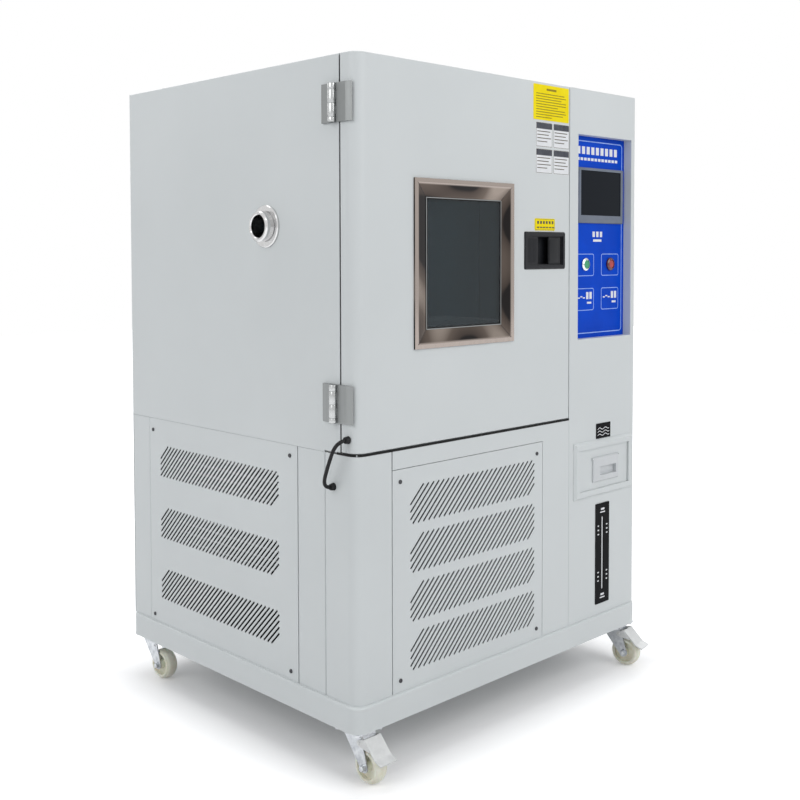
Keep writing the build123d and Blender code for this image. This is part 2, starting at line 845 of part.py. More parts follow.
# Panel that closes the recess and carries the controls
with BuildPart() as control_panel:
    with BuildSketch(front(recess_depth)):
        area(
            recess_left - control_panel_overlap,
            recess_right + control_panel_overlap,
            recess_bottom - control_panel_overlap,
            recess_top + control_panel_overlap,
        )
        for u in button_places.values():
            with Locations((u, button_height)):
                Circle(button_barrel_radius + pin_clearance, mode=Mode.SUBTRACT)
        area(
            screen_left + 6,
            screen_left + screen_width - 6,
            screen_bottom + 6,
            screen_bottom + screen_height - 6,
            mode=Mode.SUBTRACT,
        )
    extrude(amount=-control_panel_sheet)
control_panel.part.label = "control_panel"
export_step(control_panel.part, "parts/control_panel.step")

# Touch screen: a bevelled bezel on a housing behind the panel, and its glass
glass_sheet = 1.5
glass_left = screen_left + screen_side_rim
glass_right = screen_left + screen_width - screen_side_rim - 3
glass_bottom = screen_bottom + screen_low_rim
glass_top = screen_bottom + screen_height - screen_top_rim
with BuildPart() as screen_bezel:
    with BuildSketch(front(recess_depth - screen_proud)):
        area(screen_left, screen_left + screen_width, screen_bottom, screen_bottom + screen_height, 3)
    extrude(amount=-screen_proud)
    chamfer(screen_bezel.faces().sort_by(Axis.Y)[0].edges(), 1.5)
    with BuildSketch(front(recess_depth)):
        area(
            screen_left + 6,
            screen_left + screen_width - 6,
            screen_bottom + 6,
            screen_bottom + screen_height - 6,
        )
    extrude(amount=-30)
    with BuildSketch(front(recess_depth - screen_proud)):
        area(glass_left, glass_right, glass_bottom, glass_top)
    extrude(amount=-glass_sheet, mode=Mode.SUBTRACT)
screen_bezel.part.label = "screen_bezel"
export_step(screen_bezel.part, "parts/screen_bezel.step")

with BuildPart() as screen_glass:
    with BuildSketch(front(recess_depth - screen_proud + 0.2)):
        area(glass_left, glass_right, glass_bottom, glass_top)
    extrude(amount=-(glass_sheet - 0.2))
screen_glass.part.label = "screen_glass"
export_step(screen_glass.part, "parts/screen_glass.step")

# Push buttons: barrels through the panel, with a rim in front, and a cap in each
cap_front = recess_depth - 6.0
cap_length = 16.0
with BuildPart() as button_barrels:
    for u in button_places.values():
        with BuildSketch(front(recess_depth)):
            with Locations((u, button_height)):
                Circle(button_radius + 4)
        extrude(amount=button_rim)
        with BuildSketch(front(recess_depth)):
            with Locations((u, button_height)):
                Circle(button_barrel_radius)
        extrude(amount=-button_barrel_depth)
        with BuildSketch(front(recess_depth - button_rim)):
            with Locations((u, button_height)):
                Circle(button_radius + button_clearance)
        extrude(amount=-(button_rim + button_barrel_depth - 3), mode=Mode.SUBTRACT)
button_barrels.part.label = "button_barrels"
export_step(button_barrels.part, "parts/button_barrels.step")

for name, u in button_places.items():
    with BuildPart() as button:
        with BuildSketch(front(cap_front)):
            with Locations((u, button_height)):
                Circle(button_radius)
        extrude(amount=-cap_length)
        fillet(button.faces().sort_by(Axis.Y)[0].edges(), 1.5)
    button.part.label = f"{name}_button"
    export_step(button.part, f"parts/{name}_button.step")

# Frame of the water drawer, with the sleeve that the drawer runs in
with BuildPart() as drawer_frame:
    with BuildSketch(front()):
        area(drawer_frame_left, drawer_frame_right, drawer_frame_bottom, drawer_frame_top)
    extrude(amount=drawer_frame_proud)
    chamfer(drawer_frame.faces().sort_by(Axis.Y)[0].edges(), drawer_frame_bevel)
    with BuildSketch(front()):
        area(
            sleeve_left - drawer_wall,
            sleeve_right + drawer_wall,
            sleeve_bottom - drawer_wall,
            sleeve_top + drawer_wall,
        )
    extrude(amount=-drawer_sleeve_depth)
    with BuildSketch(front(-drawer_frame_proud)):
        area(sleeve_left, sleeve_right, sleeve_bottom, sleeve_top)
    extrude(amount=-(drawer_frame_proud + drawer_sleeve_depth - drawer_wall), mode=Mode.SUBTRACT)
drawer_frame.part.label = "drawer_frame"
export_step(drawer_frame.part, "parts/drawer_frame.step")

# Water drawer: a thick front with an open tray behind it
tray_bottom = sleeve_bottom + drawer_runner_gap
latch_back = -drawer_face_proud - latch_face_gap
latch_pin_v = latch_back - latch_pin_inset
latch_pin_z = latch_bottom + latch_height - latch_pin_inset
drawer_back = drawer_depth - drawer_face_proud
with BuildPart() as water_drawer:
    with BuildSketch(front(-drawer_face_proud)):
        area(
            sleeve_left + drawer_clearance,
            sleeve_right - drawer_clearance,
            tray_bottom,
            sleeve_top - drawer_clearance,
            2,
        )
        area(
            latch_cup_left - 4,
            latch_cup_left + latch_cup_width + 4,
            latch_cup_bottom - 5,
            latch_cup_bottom + latch_cup_height + 4,
            mode=Mode.SUBTRACT,
        )
    extrude(amount=-drawer_front_thickness)
    with BuildSketch(front(drawer_front_thickness - drawer_face_proud)):
        area(
            sleeve_left + drawer_clearance + 2,
            sleeve_right - drawer_clearance - 2,
            tray_bottom,
            tray_bottom + drawer_side_height,
        )
    extrude(amount=-(drawer_back - drawer_front_thickness + drawer_face_proud))
    with BuildSketch(level(tray_bottom + drawer_side_height)):
        area(
            sleeve_left + drawer_clearance + 2 + drawer_wall,
            sleeve_right - drawer_clearance - 2 - drawer_wall,
            drawer_front_thickness - drawer_face_proud + drawer_wall,
            drawer_back - drawer_wall,
        )
    extrude(amount=-(drawer_side_height - drawer_wall), mode=Mode.SUBTRACT)
    for ear_left in (latch_left - latch_ear_gap - latch_ear, latch_left + latch_width + latch_ear_gap):
        with BuildSketch(side(ear_left)):
            with Locations((latch_pin_v, latch_pin_z)):
                Circle(latch_pin_inset)
            area(
                latch_pin_v,
                -drawer_face_proud,
                latch_pin_z - latch_pin_inset,
                latch_pin_z + latch_pin_inset,
            )
            with Locations((latch_pin_v, latch_pin_z)):
                Circle(latch_pin_radius + pin_clearance, mode=Mode.SUBTRACT)
        extrude(amount=latch_ear)
water_drawer.part.label = "water_drawer"
export_step(water_drawer.part, "parts/water_drawer.step")

# Latch on the drawer's front: a plate with a finger cup, hung from a pin along its top edge
with BuildPart() as drawer_latch:
    with BuildSketch(front(latch_back)):
        area(latch_left, latch_left + latch_width, latch_bottom, latch_bottom + latch_height)
    extrude(amount=latch_proud)
    chamfer(drawer_latch.faces().sort_by(Axis.Y)[0].edges(), latch_pin_inset - 0.3)
    long_edges = drawer_latch.edges().filter_by(Axis.X)
    pivot_edge = long_edges.sort_by(lambda edge: edge.center().Z + edge.center().Y)[-1]
    fillet(pivot_edge, latch_pin_inset)
    with BuildSketch(front(latch_back)):
        area(
            latch_cup_left - latch_wall,
            latch_cup_left + latch_cup_width + latch_wall,
            latch_cup_bottom - latch_wall,
            latch_cup_bottom + latch_cup_height + latch_wall,
        )
    extrude(amount=-(latch_cup_depth - latch_proud + latch_wall))
    with BuildSketch(front(latch_back - latch_proud)):
        area(
            latch_cup_left,
            latch_cup_left + latch_cup_width,
            latch_cup_bottom,
            latch_cup_bottom + latch_cup_height,
        )
    extrude(amount=-latch_cup_depth, mode=Mode.SUBTRACT)
    with BuildSketch(side(latch_left - latch_ear_gap - latch_ear)):
        with Locations((latch_pin_v, latch_pin_z)):
            Circle(latch_pin_radius)
    extrude(amount=latch_width + 2 * (latch_ear_gap + latch_ear))
drawer_latch.part.label = "drawer_latch"
export_step(drawer_latch.part, "parts/drawer_latch.step")

# Level gauge: a slotted plate with the sight tube just behind it
with BuildPart() as level_gauge:
    with BuildSketch(front()):
        area(gauge_left, gauge_left + gauge_width, gauge_bottom, gauge_top, 2)
        with Locations((gauge_middle, (gauge_bottom + gauge_top) / 2)):
            SlotOverall(
                gauge_height - 2 * gauge_slot_margin,
                gauge_slot_width,
                rotation=90,
                mode=Mode.SUBTRACT,
            )
    extrude(amount=gauge_thickness)
    with BuildSketch(level(gauge_bottom + gauge_slot_margin - 10)):
        with Locations((gauge_middle, tube_radius + 0.3)):
            Circle(tube_radius)
            Circle(tube_radius - 1, mode=Mode.SUBTRACT)
    extrude(amount=gauge_height - 2 * gauge_slot_margin + 20)
level_gauge.part.label = "level_gauge"
export_step(level_gauge.part, "parts/level_gauge.step")

# Test port: one turned tube with an outer flange and ring, and an inner flange
with BuildPart() as test_port:
    with BuildSketch(Plane(origin=at(0, port_v, port_z), x_dir=(0, 1, 0), z_dir=(0, 0, 1))):
        wall_end = chamber_left + port_inner_flange
        with BuildLine():
            Polyline(
                (port_bore_radius, -wall_end),
                (port_bore_radius, port_reach - 2),
                (port_bore_radius + 2, port_reach),
                (port_ring_radius - 3, port_reach),
                (port_ring_radius, port_reach - 3),
                (port_ring_radius, port_flange_thickness + 4),
                (port_ring_radius - 2, port_flange_thickness + 3),
                (port_ring_radius - 2, port_flange_thickness),
                (port_flange_radius - 2, port_flange_thickness),
                (port_flange_radius, port_flange_thickness - 2),
                (port_flange_radius, 0),
                (port_tube_radius, 0),
                (port_tube_radius, -chamber_left),
                (port_ring_radius, -chamber_left),
                (port_ring_radius, -wall_end),
                close=True,
            )
        make_face()
    revolve(axis=Axis(at(0, port_v, port_z), (1, 0, 0)))
test_port.part.label = "test_port"
export_step(test_port.part, "parts/test_port.step")

# Hinges: two leaves each, with five knuckles between them on one pin
axis_u = -hinge_axis_out
segment = hinge_height / 5
with BuildPart() as hinge_door_leaves:
    for base in hinge_bottoms:
        with BuildSketch(level(base)):
            with BuildLine():
                Polyline(
                    (0, door_leaf_front),
                    (-leaf_thickness * 0.4, door_leaf_front),
                    (-leaf_thickness, door_leaf_front + 14),
                    (-leaf_thickness, hinge_axis_v - knuckle_radius - leaf_gap),
                    (0, hinge_axis_v - knuckle_radius - leaf_gap),
                    close=True,
                )
            make_face()
        extrude(amount=hinge_height)
        for index in (1, 3):
            with BuildSketch(level(base + index * segment + knuckle_gap / 2)):
                with Locations((axis_u, hinge_axis_v)):
                    Circle(knuckle_radius)
                area(
                    -leaf_thickness,
                    -leaf_thickness * 0.25,
                    hinge_axis_v - knuckle_radius - 1,
                    hinge_axis_v - 1,
                )
                with Locations((axis_u, hinge_axis_v)):
                    Circle(hinge_pin_radius + pin_clearance, mode=Mode.SUBTRACT)
            extrude(amount=segment - knuckle_gap)
hinge_door_leaves.part.label = "hinge_door_leaves"
export_step(hinge_door_leaves.part, "parts/hinge_door_leaves.step")

with BuildPart() as hinge_body_leaves:
    for base in hinge_bottoms:
        with BuildSketch(level(base)):
            area(-leaf_thickness, 0, hinge_axis_v + knuckle_radius + leaf_gap, body_leaf_back)
        extrude(amount=hinge_height)
        for index in (0, 2, 4):
            with BuildSketch(level(base + index * segment + knuckle_gap / 2)):
                with Locations((axis_u, hinge_axis_v)):
                    Circle(knuckle_radius)
                area(
                    -leaf_thickness,
                    -leaf_thickness * 0.25,
                    hinge_axis_v + 1,
                    hinge_axis_v + knuckle_radius + 1,
                )
                with Locations((axis_u, hinge_axis_v)):
                    Circle(hinge_pin_radius + pin_clearance, mode=Mode.SUBTRACT)
            extrude(amount=segment - knuckle_gap)
        with BuildSketch(level(base)):
            with Locations((axis_u, hinge_axis_v)):
                Circle(hinge_pin_radius)
        extrude(amount=hinge_height)
hinge_body_leaves.part.label = "hinge_body_leaves"
export_step(hinge_body_leaves.part, "parts/hinge_body_leaves.step")

# Door shell: a folded pan with a rounded front edge on the hinge side
window_top = window_bottom + window_height
pane_left = window_left + window_bevel
pane_right = window_right - window_bevel
pane_bottom = window_bottom + window_bevel
pane_top = window_top - window_bevel
window_opening = (
    window_left + window_lip,
    window_right - window_lip,
    window_bottom + window_lip,
    window_top - window_lip,
)
handle_right = handle_left + handle_width
handle_top = handle_bottom + handle_height
cavity_left = handle_left + handle_rim + finger_width
with BuildPart() as door_shell:
    with BuildSketch(front()):
        area(0, door_width, door_bottom, body_top)
    extrude(amount=-door_thickness)
    upright_edges = door_shell.edges().filter_by(Axis.Z)
    hinge_edge = upright_edges.sort_by(lambda edge: edge.center().X + edge.center().Y)[0]
    fillet(hinge_edge, corner_radius)
    offset(amount=-door_sheet, openings=door_shell.faces().sort_by(Axis.Y)[-1])
    folded_edges = [
        edge
        for edge in door_shell.edges()
        if edge.center().Y < front_y + door_thickness - seam
        and (
            abs(edge.center().Z - body_top) < seam / 2
            or abs(edge.center().Z - door_bottom) < seam / 2
            or abs(edge.center().X - left_x - door_width) < seam / 2
        )
    ]
    folded_edges = [
        edge for edge in folded_edges if edge.center().X > left_x + seam or edge.length < door_thickness
    ]
    fillet(folded_edges, edge_radius)
    with BuildSketch(front()):
        area(*window_opening)
        area(
            handle_left + handle_rim,
            handle_right - handle_rim,
            handle_bottom + handle_rim,
            handle_top - handle_rim,
        )
    extrude(amount=-door_sheet, mode=Mode.SUBTRACT)
    with BuildSketch(side(door_width)):
        with Locations((bolt_depth + bolt_thickness / 2, handle_middle)):
            Rectangle(bolt_thickness + 2 * pin_clearance, bolt_height + 2 * pin_clearance)
    extrude(amount=-door_sheet, mode=Mode.SUBTRACT)
door_shell.part.label = "door_shell"
export_step(door_shell.part, "parts/door_shell.step")

# Inner skin of the door: a back sheet with a raised plug that fills the chamber's mouth
plug_left = chamber_left + plug_clearance
plug_right = chamber_right - plug_clearance
plug_bottom = chamber_bottom + plug_clearance
plug_top = chamber_top - plug_clearance
skin_v = door_thickness - liner_sheet
with BuildPart() as door_liner:
    with BuildSketch(front(skin_v)):
        area(door_sheet, door_width - door_sheet, door_bottom + door_sheet, body_top - door_sheet)
    extrude(amount=-liner_sheet)
    with BuildSketch(front(door_thickness)):
        area(plug_left, plug_right, plug_bottom, plug_top)
    extrude(amount=-plug_depth)
    with BuildSketch(front(skin_v)):
        area(
            plug_left + liner_sheet,
            plug_right - liner_sheet,
            plug_bottom + liner_sheet,
            plug_top - liner_sheet,
        )
    extrude(amount=-plug_depth, mode=Mode.SUBTRACT)
    with BuildSketch(front(door_thickness)):
        area(
            pane_left - frame_wall,
            pane_right + frame_wall,
            pane_bottom - frame_wall,
            pane_top + frame_wall,
        )
    extrude(amount=-plug_depth, mode=Mode.SUBTRACT)
door_liner.part.label = "door_liner"
export_step(door_liner.part, "parts/door_liner.step")

# Foam in the door and its plug, round the window and the handle
pocket_left = handle_left + handle_rim
with BuildPart() as door_insulation:
    with BuildSketch(front(door_sheet)):
        area(corner_radius, door_width - door_sheet, door_bottom + door_sheet, body_top - door_sheet)
    extrude(amount=-(skin_v - door_sheet))
    with BuildSketch(front(skin_v)):
        area(
            plug_left + liner_sheet,
            plug_right - liner_sheet,
            plug_bottom + liner_sheet,
            plug_top - liner_sheet,
        )
    extrude(amount=-plug_depth)
    with BuildSketch(front(door_sheet)):
        area(
            pane_left - frame_wall,
            pane_right + frame_wall,
            pane_bottom - frame_wall,
            pane_top + frame_wall,
        )
    extrude(amount=-(skin_v - door_sheet + plug_depth), mode=Mode.SUBTRACT)
    with BuildSketch(front(door_sheet)):
        area(*window_opening)
    extrude(amount=-(window_glass_depth + frame_wall - door_sheet), mode=Mode.SUBTRACT)
    with BuildSketch(front(door_sheet)):
        area(pocket_left, door_width - door_sheet, handle_bottom + handle_rim, handle_top - handle_rim)
    extrude(amount=-(skin_v - door_sheet), mode=Mode.SUBTRACT)
door_insulation.part.label = "door_insulation"
export_step(door_insulation.part, "parts/door_insulation.step")

# Two seals on the door's back, one near the chamber's mouth and one near the door's edge
inner_seal = seal_margin + seal_width
with BuildPart() as door_seals:
    with BuildSketch(front(door_thickness)):
        area(
            chamber_left - inner_seal,
            chamber_right + inner_seal,
            chamber_bottom - inner_seal,
            chamber_top + inner_seal,
            20,
        )
        area(
            chamber_left - seal_margin,
            chamber_right + seal_margin,
            chamber_bottom - seal_margin,
            chamber_top + seal_margin,
            8,
            mode=Mode.SUBTRACT,
        )
    extrude(amount=-seal_thickness)
    with BuildSketch(front(door_thickness)):
        area(
            outer_seal_inset,
            door_width - outer_seal_inset,
            door_bottom + outer_seal_inset,
            body_top - outer_seal_inset,
            14,
        )
        area(
            outer_seal_inset + outer_seal_width,
            door_width - outer_seal_inset - outer_seal_width,
            door_bottom + outer_seal_inset + outer_seal_width,
            body_top - outer_seal_inset - outer_seal_width,
            6,
            mode=Mode.SUBTRACT,
        )
    extrude(amount=-seal_thickness)
door_seals.part.label = "door_seals"
export_step(door_seals.part, "parts/door_seals.step")

# Window frame: a lip on the door's face, a mitred bevel down to the glass, and a tunnel through the door
tunnel_depth = door_thickness + plug_depth
frame_step = window_glass_depth + frame_wall
with BuildPart() as window_frame:
    with BuildSketch(front()):
        area(window_left, window_right, window_bottom, window_top)
    extrude(amount=window_proud)
    with BuildSketch(front()):
        area(*window_opening)
    extrude(amount=-frame_step)
    with BuildSketch(front()):
        area(
            pane_left - frame_wall,
            pane_right + frame_wall,
            pane_bottom - frame_wall,
            pane_top + frame_wall,
        )
    extrude(amount=-tunnel_depth)
    with BuildSketch(front(-window_proud)):
        area(*window_opening)
    with BuildSketch(front(window_glass_depth)):
        area(pane_left, pane_right, pane_bottom, pane_top)
    loft(mode=Mode.SUBTRACT)
    with BuildSketch(front(window_glass_depth)):
        area(pane_left, pane_right, pane_bottom, pane_top)
    extrude(amount=-tunnel_depth, mode=Mode.SUBTRACT)
window_frame.part.label = "window_frame"
export_step(window_frame.part, "parts/window_frame.step")

# Outer and inner panes
with BuildPart() as window_panes:
    with BuildSketch(front(window_glass_depth)):
        area(pane_left, pane_right, pane_bottom, pane_top)
    extrude(amount=-outer_pane)
    with BuildSketch(front(tunnel_depth - inner_pane)):
        area(pane_left, pane_right, pane_bottom, pane_top)
    extrude(amount=-inner_pane)
window_panes.part.label = "window_panes"
export_step(window_panes.part, "parts/window_panes.step")

# Handle housing: a bevelled rim, a fixed pad, an open finger cavity and a bay for the paddle
bay_left = cavity_left + finger_width
bay_right = bay_left + paddle_width
with BuildPart() as handle_housing:
    with BuildSketch(front()):
        area(handle_left, handle_right, handle_bottom, handle_top, 4)
    extrude(amount=handle_proud)
    chamfer(handle_housing.faces().sort_by(Axis.Y)[0].edges(), handle_proud * 0.8)
    with BuildSketch(front()):
        area(pocket_left, handle_right - handle_rim, handle_bottom + handle_rim, handle_top - handle_rim)
    extrude(amount=-handle_depth)
    with BuildSketch(front(-handle_proud)):
        area(pocket_left + 2, handle_right - handle_rim - 2, handle_bottom + 10, handle_top - 10)
    extrude(amount=-(handle_proud - 0.5), mode=Mode.SUBTRACT)
    with BuildSketch(front(-handle_proud)):
        area(cavity_left, bay_right, handle_bottom + finger_margin, handle_top - finger_margin)
    extrude(amount=-(handle_proud + handle_depth - handle_wall), mode=Mode.SUBTRACT)
    lever_u = bay_right - paddle_pin_radius - 3
    with BuildSketch(front(handle_depth)):
        with Locations((lever_u - lever_radius * 0.25, handle_middle)):
            Rectangle(lever_radius, lever_height + 2 * bolt_clearance)
    extrude(amount=handle_wall, mode=Mode.SUBTRACT)
    with BuildSketch(level(handle_bottom + handle_rim)):
        with Locations((lever_u, paddle_thickness)):
            Circle(paddle_pin_radius + pin_clearance)
    extrude(amount=handle_height - 2 * handle_rim, mode=Mode.SUBTRACT)
handle_housing.part.label = "handle_housing"
export_step(handle_housing.part, "parts/handle_housing.step")

# Paddle on its upright pin, with the lever that draws the bolt back
with BuildPart() as handle_paddle:
    with BuildSketch(level(handle_bottom + finger_margin + paddle_gap)):
        area(bay_left, lever_u + 2, 0, paddle_thickness, 1)
        with Locations((lever_u, paddle_thickness)):
            Circle(paddle_pin_radius + 1.5)
    extrude(amount=handle_height - 2 * finger_margin - 2 * paddle_gap)
    with BuildSketch(level(handle_bottom + handle_rim + 0.5)):
        with Locations((lever_u, paddle_thickness)):
            Circle(paddle_pin_radius)
    extrude(amount=handle_height - 2 * handle_rim - 1)
    with BuildSketch(level(handle_middle - lever_height / 2)):
        area(
            lever_u - lever_thickness / 2,
            lever_u + lever_thickness / 2,
            paddle_thickness,
            paddle_thickness + lever_radius + 3,
        )
    extrude(amount=lever_height)
handle_paddle.part.label = "handle_paddle"
export_step(handle_paddle.part, "parts/handle_paddle.step")

# Latch bolt, with a notch for the lever and a sloped nose
bolt_end = column_left + 9.0
with BuildPart() as latch_bolt:
    with BuildSketch(level(handle_middle - bolt_height / 2)):
        with BuildLine():
            Polyline(
                (lever_u - 18, bolt_depth),
                (bolt_end, bolt_depth),
                (bolt_end, bolt_depth + 2),
                (bolt_end - 9, bolt_depth + bolt_thickness),
                (lever_u - 18, bolt_depth + bolt_thickness),
                close=True,
            )
        make_face()
    extrude(amount=bolt_height)
    with BuildSketch(level(handle_middle - lever_height / 2 - bolt_clearance)):
        area(lever_u - 5, lever_u + 5, bolt_depth, bolt_depth + 8)
    extrude(amount=lever_height + 2 * bolt_clearance, mode=Mode.SUBTRACT)
latch_bolt.part.label = "latch_bolt"
export_step(latch_bolt.part, "parts/latch_bolt.step")

# Air mover: motor behind the foam, shaft through it, and a bladed wheel in the plenum
wheel_front = duct_v + duct_sheet + 30.0
wheel_back = chamber_back - 12.0
blade_count = 16
with BuildPart() as circulation_fan:
    with BuildSketch(front(wheel_back - 2)):
        with Locations((fan_u, fan_height)):
            Circle(fan_radius)
    extrude(amount=-2)
    with BuildSketch(front(wheel_front)):
        with Locations((fan_u, fan_height)):
            with PolarLocations(fan_radius - 14, blade_count):
                Rectangle(22, 1.5, rotation=35)
    extrude(amount=-(wheel_back - wheel_front))
    with BuildSketch(front(wheel_front)):
        with Locations((fan_u, fan_height)):
            Circle(fan_radius)
            Circle(fan_radius - 26, mode=Mode.SUBTRACT)
    extrude(amount=-1.5)
    with BuildSketch(front(wheel_back - 22)):
        with Locations((fan_u, fan_height)):
            Circle(14)
    extrude(amount=-22)
    with BuildSketch(front(wheel_back - 22)):
        with Locations((fan_u, fan_height)):
            Circle(shaft_radius)
    extrude(amount=-(insulation_back + 30 - wheel_back + 22))
circulation_fan.part.label = "circulation_fan"
export_step(circulation_fan.part, "parts/circulation_fan.step")

motor_plate = 140.0
motor_plate_sheet = 4.0
motor_radius = 56.0
motor_length = 70.0
with BuildPart() as circulation_motor:
    with BuildSketch(front(insulation_back)):
        with Locations((fan_u, fan_height)):
            RectangleRounded(motor_plate, motor_plate, 10)
    extrude(amount=-motor_plate_sheet)
    with BuildSketch(front(insulation_back + motor_plate_sheet)):
        with Locations((fan_u, fan_height)):
            Circle(motor_radius)
    extrude(amount=-motor_length)
    with BuildSketch(front(insulation_back)):
        with Locations((fan_u, fan_height)):
            Circle(shaft_radius + pin_clearance)
    extrude(amount=-34, mode=Mode.SUBTRACT)
circulation_motor.part.label = "circulation_motor"
export_step(circulation_motor.part, "parts/circulation_motor.step")

# Heater and cooling coil in the plenum
heater_v = duct_v + duct_sheet + 45
heater_rod = 5.0
heater_reach = chamber_width / 2 - 40
with BuildPart() as heater_coil:
    with BuildLine() as heater_path:
        heater_z = chamber_bottom + 250.0
        FilletPolyline(
            at(fan_u - heater_reach, heater_v, heater_z - 60),
            at(fan_u - heater_reach, heater_v, heater_z),
            at(fan_u + heater_reach, heater_v, heater_z),
            at(fan_u + heater_reach, heater_v, heater_z + 40),
            at(fan_u - heater_reach, heater_v, heater_z + 40),
            at(fan_u - heater_reach, heater_v, heater_z + 80),
            at(fan_u + heater_reach, heater_v, heater_z + 80),
            radius=15,
        )
    with BuildSketch(Plane(origin=heater_path.line @ 0, z_dir=heater_path.line % 0)):
        Circle(heater_rod)
    sweep()
    with BuildSketch(front(heater_v - heater_rod)):
        for end in (-1, 1):
            with Locations((fan_u + end * heater_reach * 0.6, heater_z + 40)):
                Rectangle(14, 110)
    extrude(amount=-(chamber_back - heater_v + heater_rod))
heater_coil.part.label = "heater_coil"
export_step(heater_coil.part, "parts/heater_coil.step")

coil_v = duct_v + duct_sheet + 25
coil_depth = 70.0
with BuildPart() as cooling_coil:
    with BuildSketch(front(coil_v)):
        area(chamber_left + 12, chamber_right - 12, chamber_bottom, chamber_bottom + 150)
        with Locations((fan_u, chamber_bottom + 80)):
            with GridLocations(18, 0, 25, 1):
                Rectangle(13, 120, mode=Mode.SUBTRACT)
    extrude(amount=-coil_depth)
cooling_coil.part.label = "cooling_coil"
export_step(cooling_coil.part, "parts/cooling_coil.step")

# Condensing unit behind the left grille: finned coil, shroud with motor struts, fan and compressor
condenser_u = sheet + condenser_gap
with BuildPart() as condenser_coil:
    with BuildSketch(side(condenser_u)):
        with Locations((condenser_v, plinth_top + condenser_height / 2)):
            Rectangle(condenser_width, condenser_height)
            with GridLocations(0, 22, 1, 18):
                Rectangle(condenser_width - 30, 14, mode=Mode.SUBTRACT)
    extrude(amount=condenser_depth)
condenser_coil.part.label = "condenser_coil"
export_step(condenser_coil.part, "parts/condenser_coil.step")

shroud_u = condenser_u + condenser_depth
shroud_sheet = 2.0
shroud_motor_radius = 34.0
shroud_motor_length = 60.0
strut_width = 12.0
strut_thickness = 4.0
fan_shaft_radius = 5.0
with BuildPart() as condenser_shroud:
    with BuildSketch(side(shroud_u)):
        with Locations((condenser_v, plinth_top + condenser_height / 2)):
            Rectangle(condenser_width, condenser_height)
        with Locations((condenser_v, condenser_z)):
            Circle(fan_opening, mode=Mode.SUBTRACT)
    extrude(amount=shroud_sheet)
    with BuildSketch(side(shroud_u + shroud_sheet)):
        with Locations((condenser_v, condenser_z)):
            Circle(fan_opening + shroud_sheet)
            Circle(fan_opening, mode=Mode.SUBTRACT)
    extrude(amount=shroud_depth)
    with BuildSketch(side(shroud_u + shroud_depth - shroud_sheet)):
        with Locations((condenser_v, condenser_z)):
            Circle(shroud_motor_radius)
            with PolarLocations((fan_opening + shroud_motor_radius) / 2 + 1, 4):
                Rectangle(fan_opening - shroud_motor_radius + 4, strut_width)
    extrude(amount=strut_thickness)
    with BuildSketch(side(shroud_u + shroud_depth + shroud_sheet)):
        with Locations((condenser_v, condenser_z)):
            Circle(shroud_motor_radius)
    extrude(amount=shroud_motor_length)
    with BuildSketch(side(shroud_u + shroud_depth - shroud_sheet)):
        with Locations((condenser_v, condenser_z)):
            Circle(fan_shaft_radius + pin_clearance)
    extrude(amount=34, mode=Mode.SUBTRACT)
condenser_shroud.part.label = "condenser_shroud"
export_step(condenser_shroud.part, "parts/condenser_shroud.step")

fan_blades = 5
fan_hub_radius = 30.0
fan_hub_length = 22.0
fan_hub_u = shroud_u + 12
fan_tip_gap = 8.0
fan_shaft_length = 56.0
with BuildPart() as condenser_fan:
    with BuildSketch(side(fan_hub_u)):
        with Locations((condenser_v, condenser_z)):
            Circle(fan_hub_radius)
    extrude(amount=fan_hub_length)
    for index in range(fan_blades):
        angle = radians(360 / fan_blades * index)
        outward = Vector(0, cos(angle), sin(angle))
        hub_middle = Vector(*at(fan_hub_u + fan_hub_length / 2, condenser_v, condenser_z))
        root = Plane(origin=hub_middle + outward * (fan_hub_radius - 4), x_dir=(1, 0, 0), z_dir=outward)
        tip = Plane(origin=hub_middle + outward * (fan_opening - fan_tip_gap), x_dir=(1, 0, 0), z_dir=outward)
        with BuildSketch(root):
            Rectangle(2.5, 30, rotation=42)
        with BuildSketch(tip):
            Rectangle(2, 90, rotation=18)
        loft()
    with BuildSketch(side(fan_hub_u)):
        with Locations((condenser_v, condenser_z)):
            Circle(fan_shaft_radius)
    extrude(amount=fan_shaft_length)
condenser_fan.part.label = "condenser_fan"
export_step(condenser_fan.part, "parts/condenser_fan.step")

compressor_spot = (330.0, 560.0)
compressor_radius = 78.0
compressor_height = 240.0
compressor_foot = 170.0
compressor_foot_sheet = 6.0
rubber_foot_height = 12.0
rubber_foot_spread = 130.0
can_start = rubber_foot_height + 2
with BuildPart() as compressor:
    with BuildSketch(level(plinth_top + can_start)):
        with Locations(compressor_spot):
            Circle(compressor_radius)
    extrude(amount=compressor_height - can_start)
    fillet(compressor.faces().sort_by(Axis.Z)[-1].edges(), 50)
    chamfer(compressor.faces().sort_by(Axis.Z)[0].edges(), 16)
    with BuildSketch(level(plinth_top + rubber_foot_height)):
        with Locations(compressor_spot):
            RectangleRounded(compressor_foot, compressor_foot, 20)
    extrude(amount=compressor_foot_sheet)
    with BuildSketch(level(plinth_top)):
        with Locations(compressor_spot):
            with GridLocations(rubber_foot_spread, rubber_foot_spread, 2, 2):
                Circle(12)
    extrude(amount=rubber_foot_height)
compressor.part.label = "compressor"
export_step(compressor.part, "parts/compressor.step")

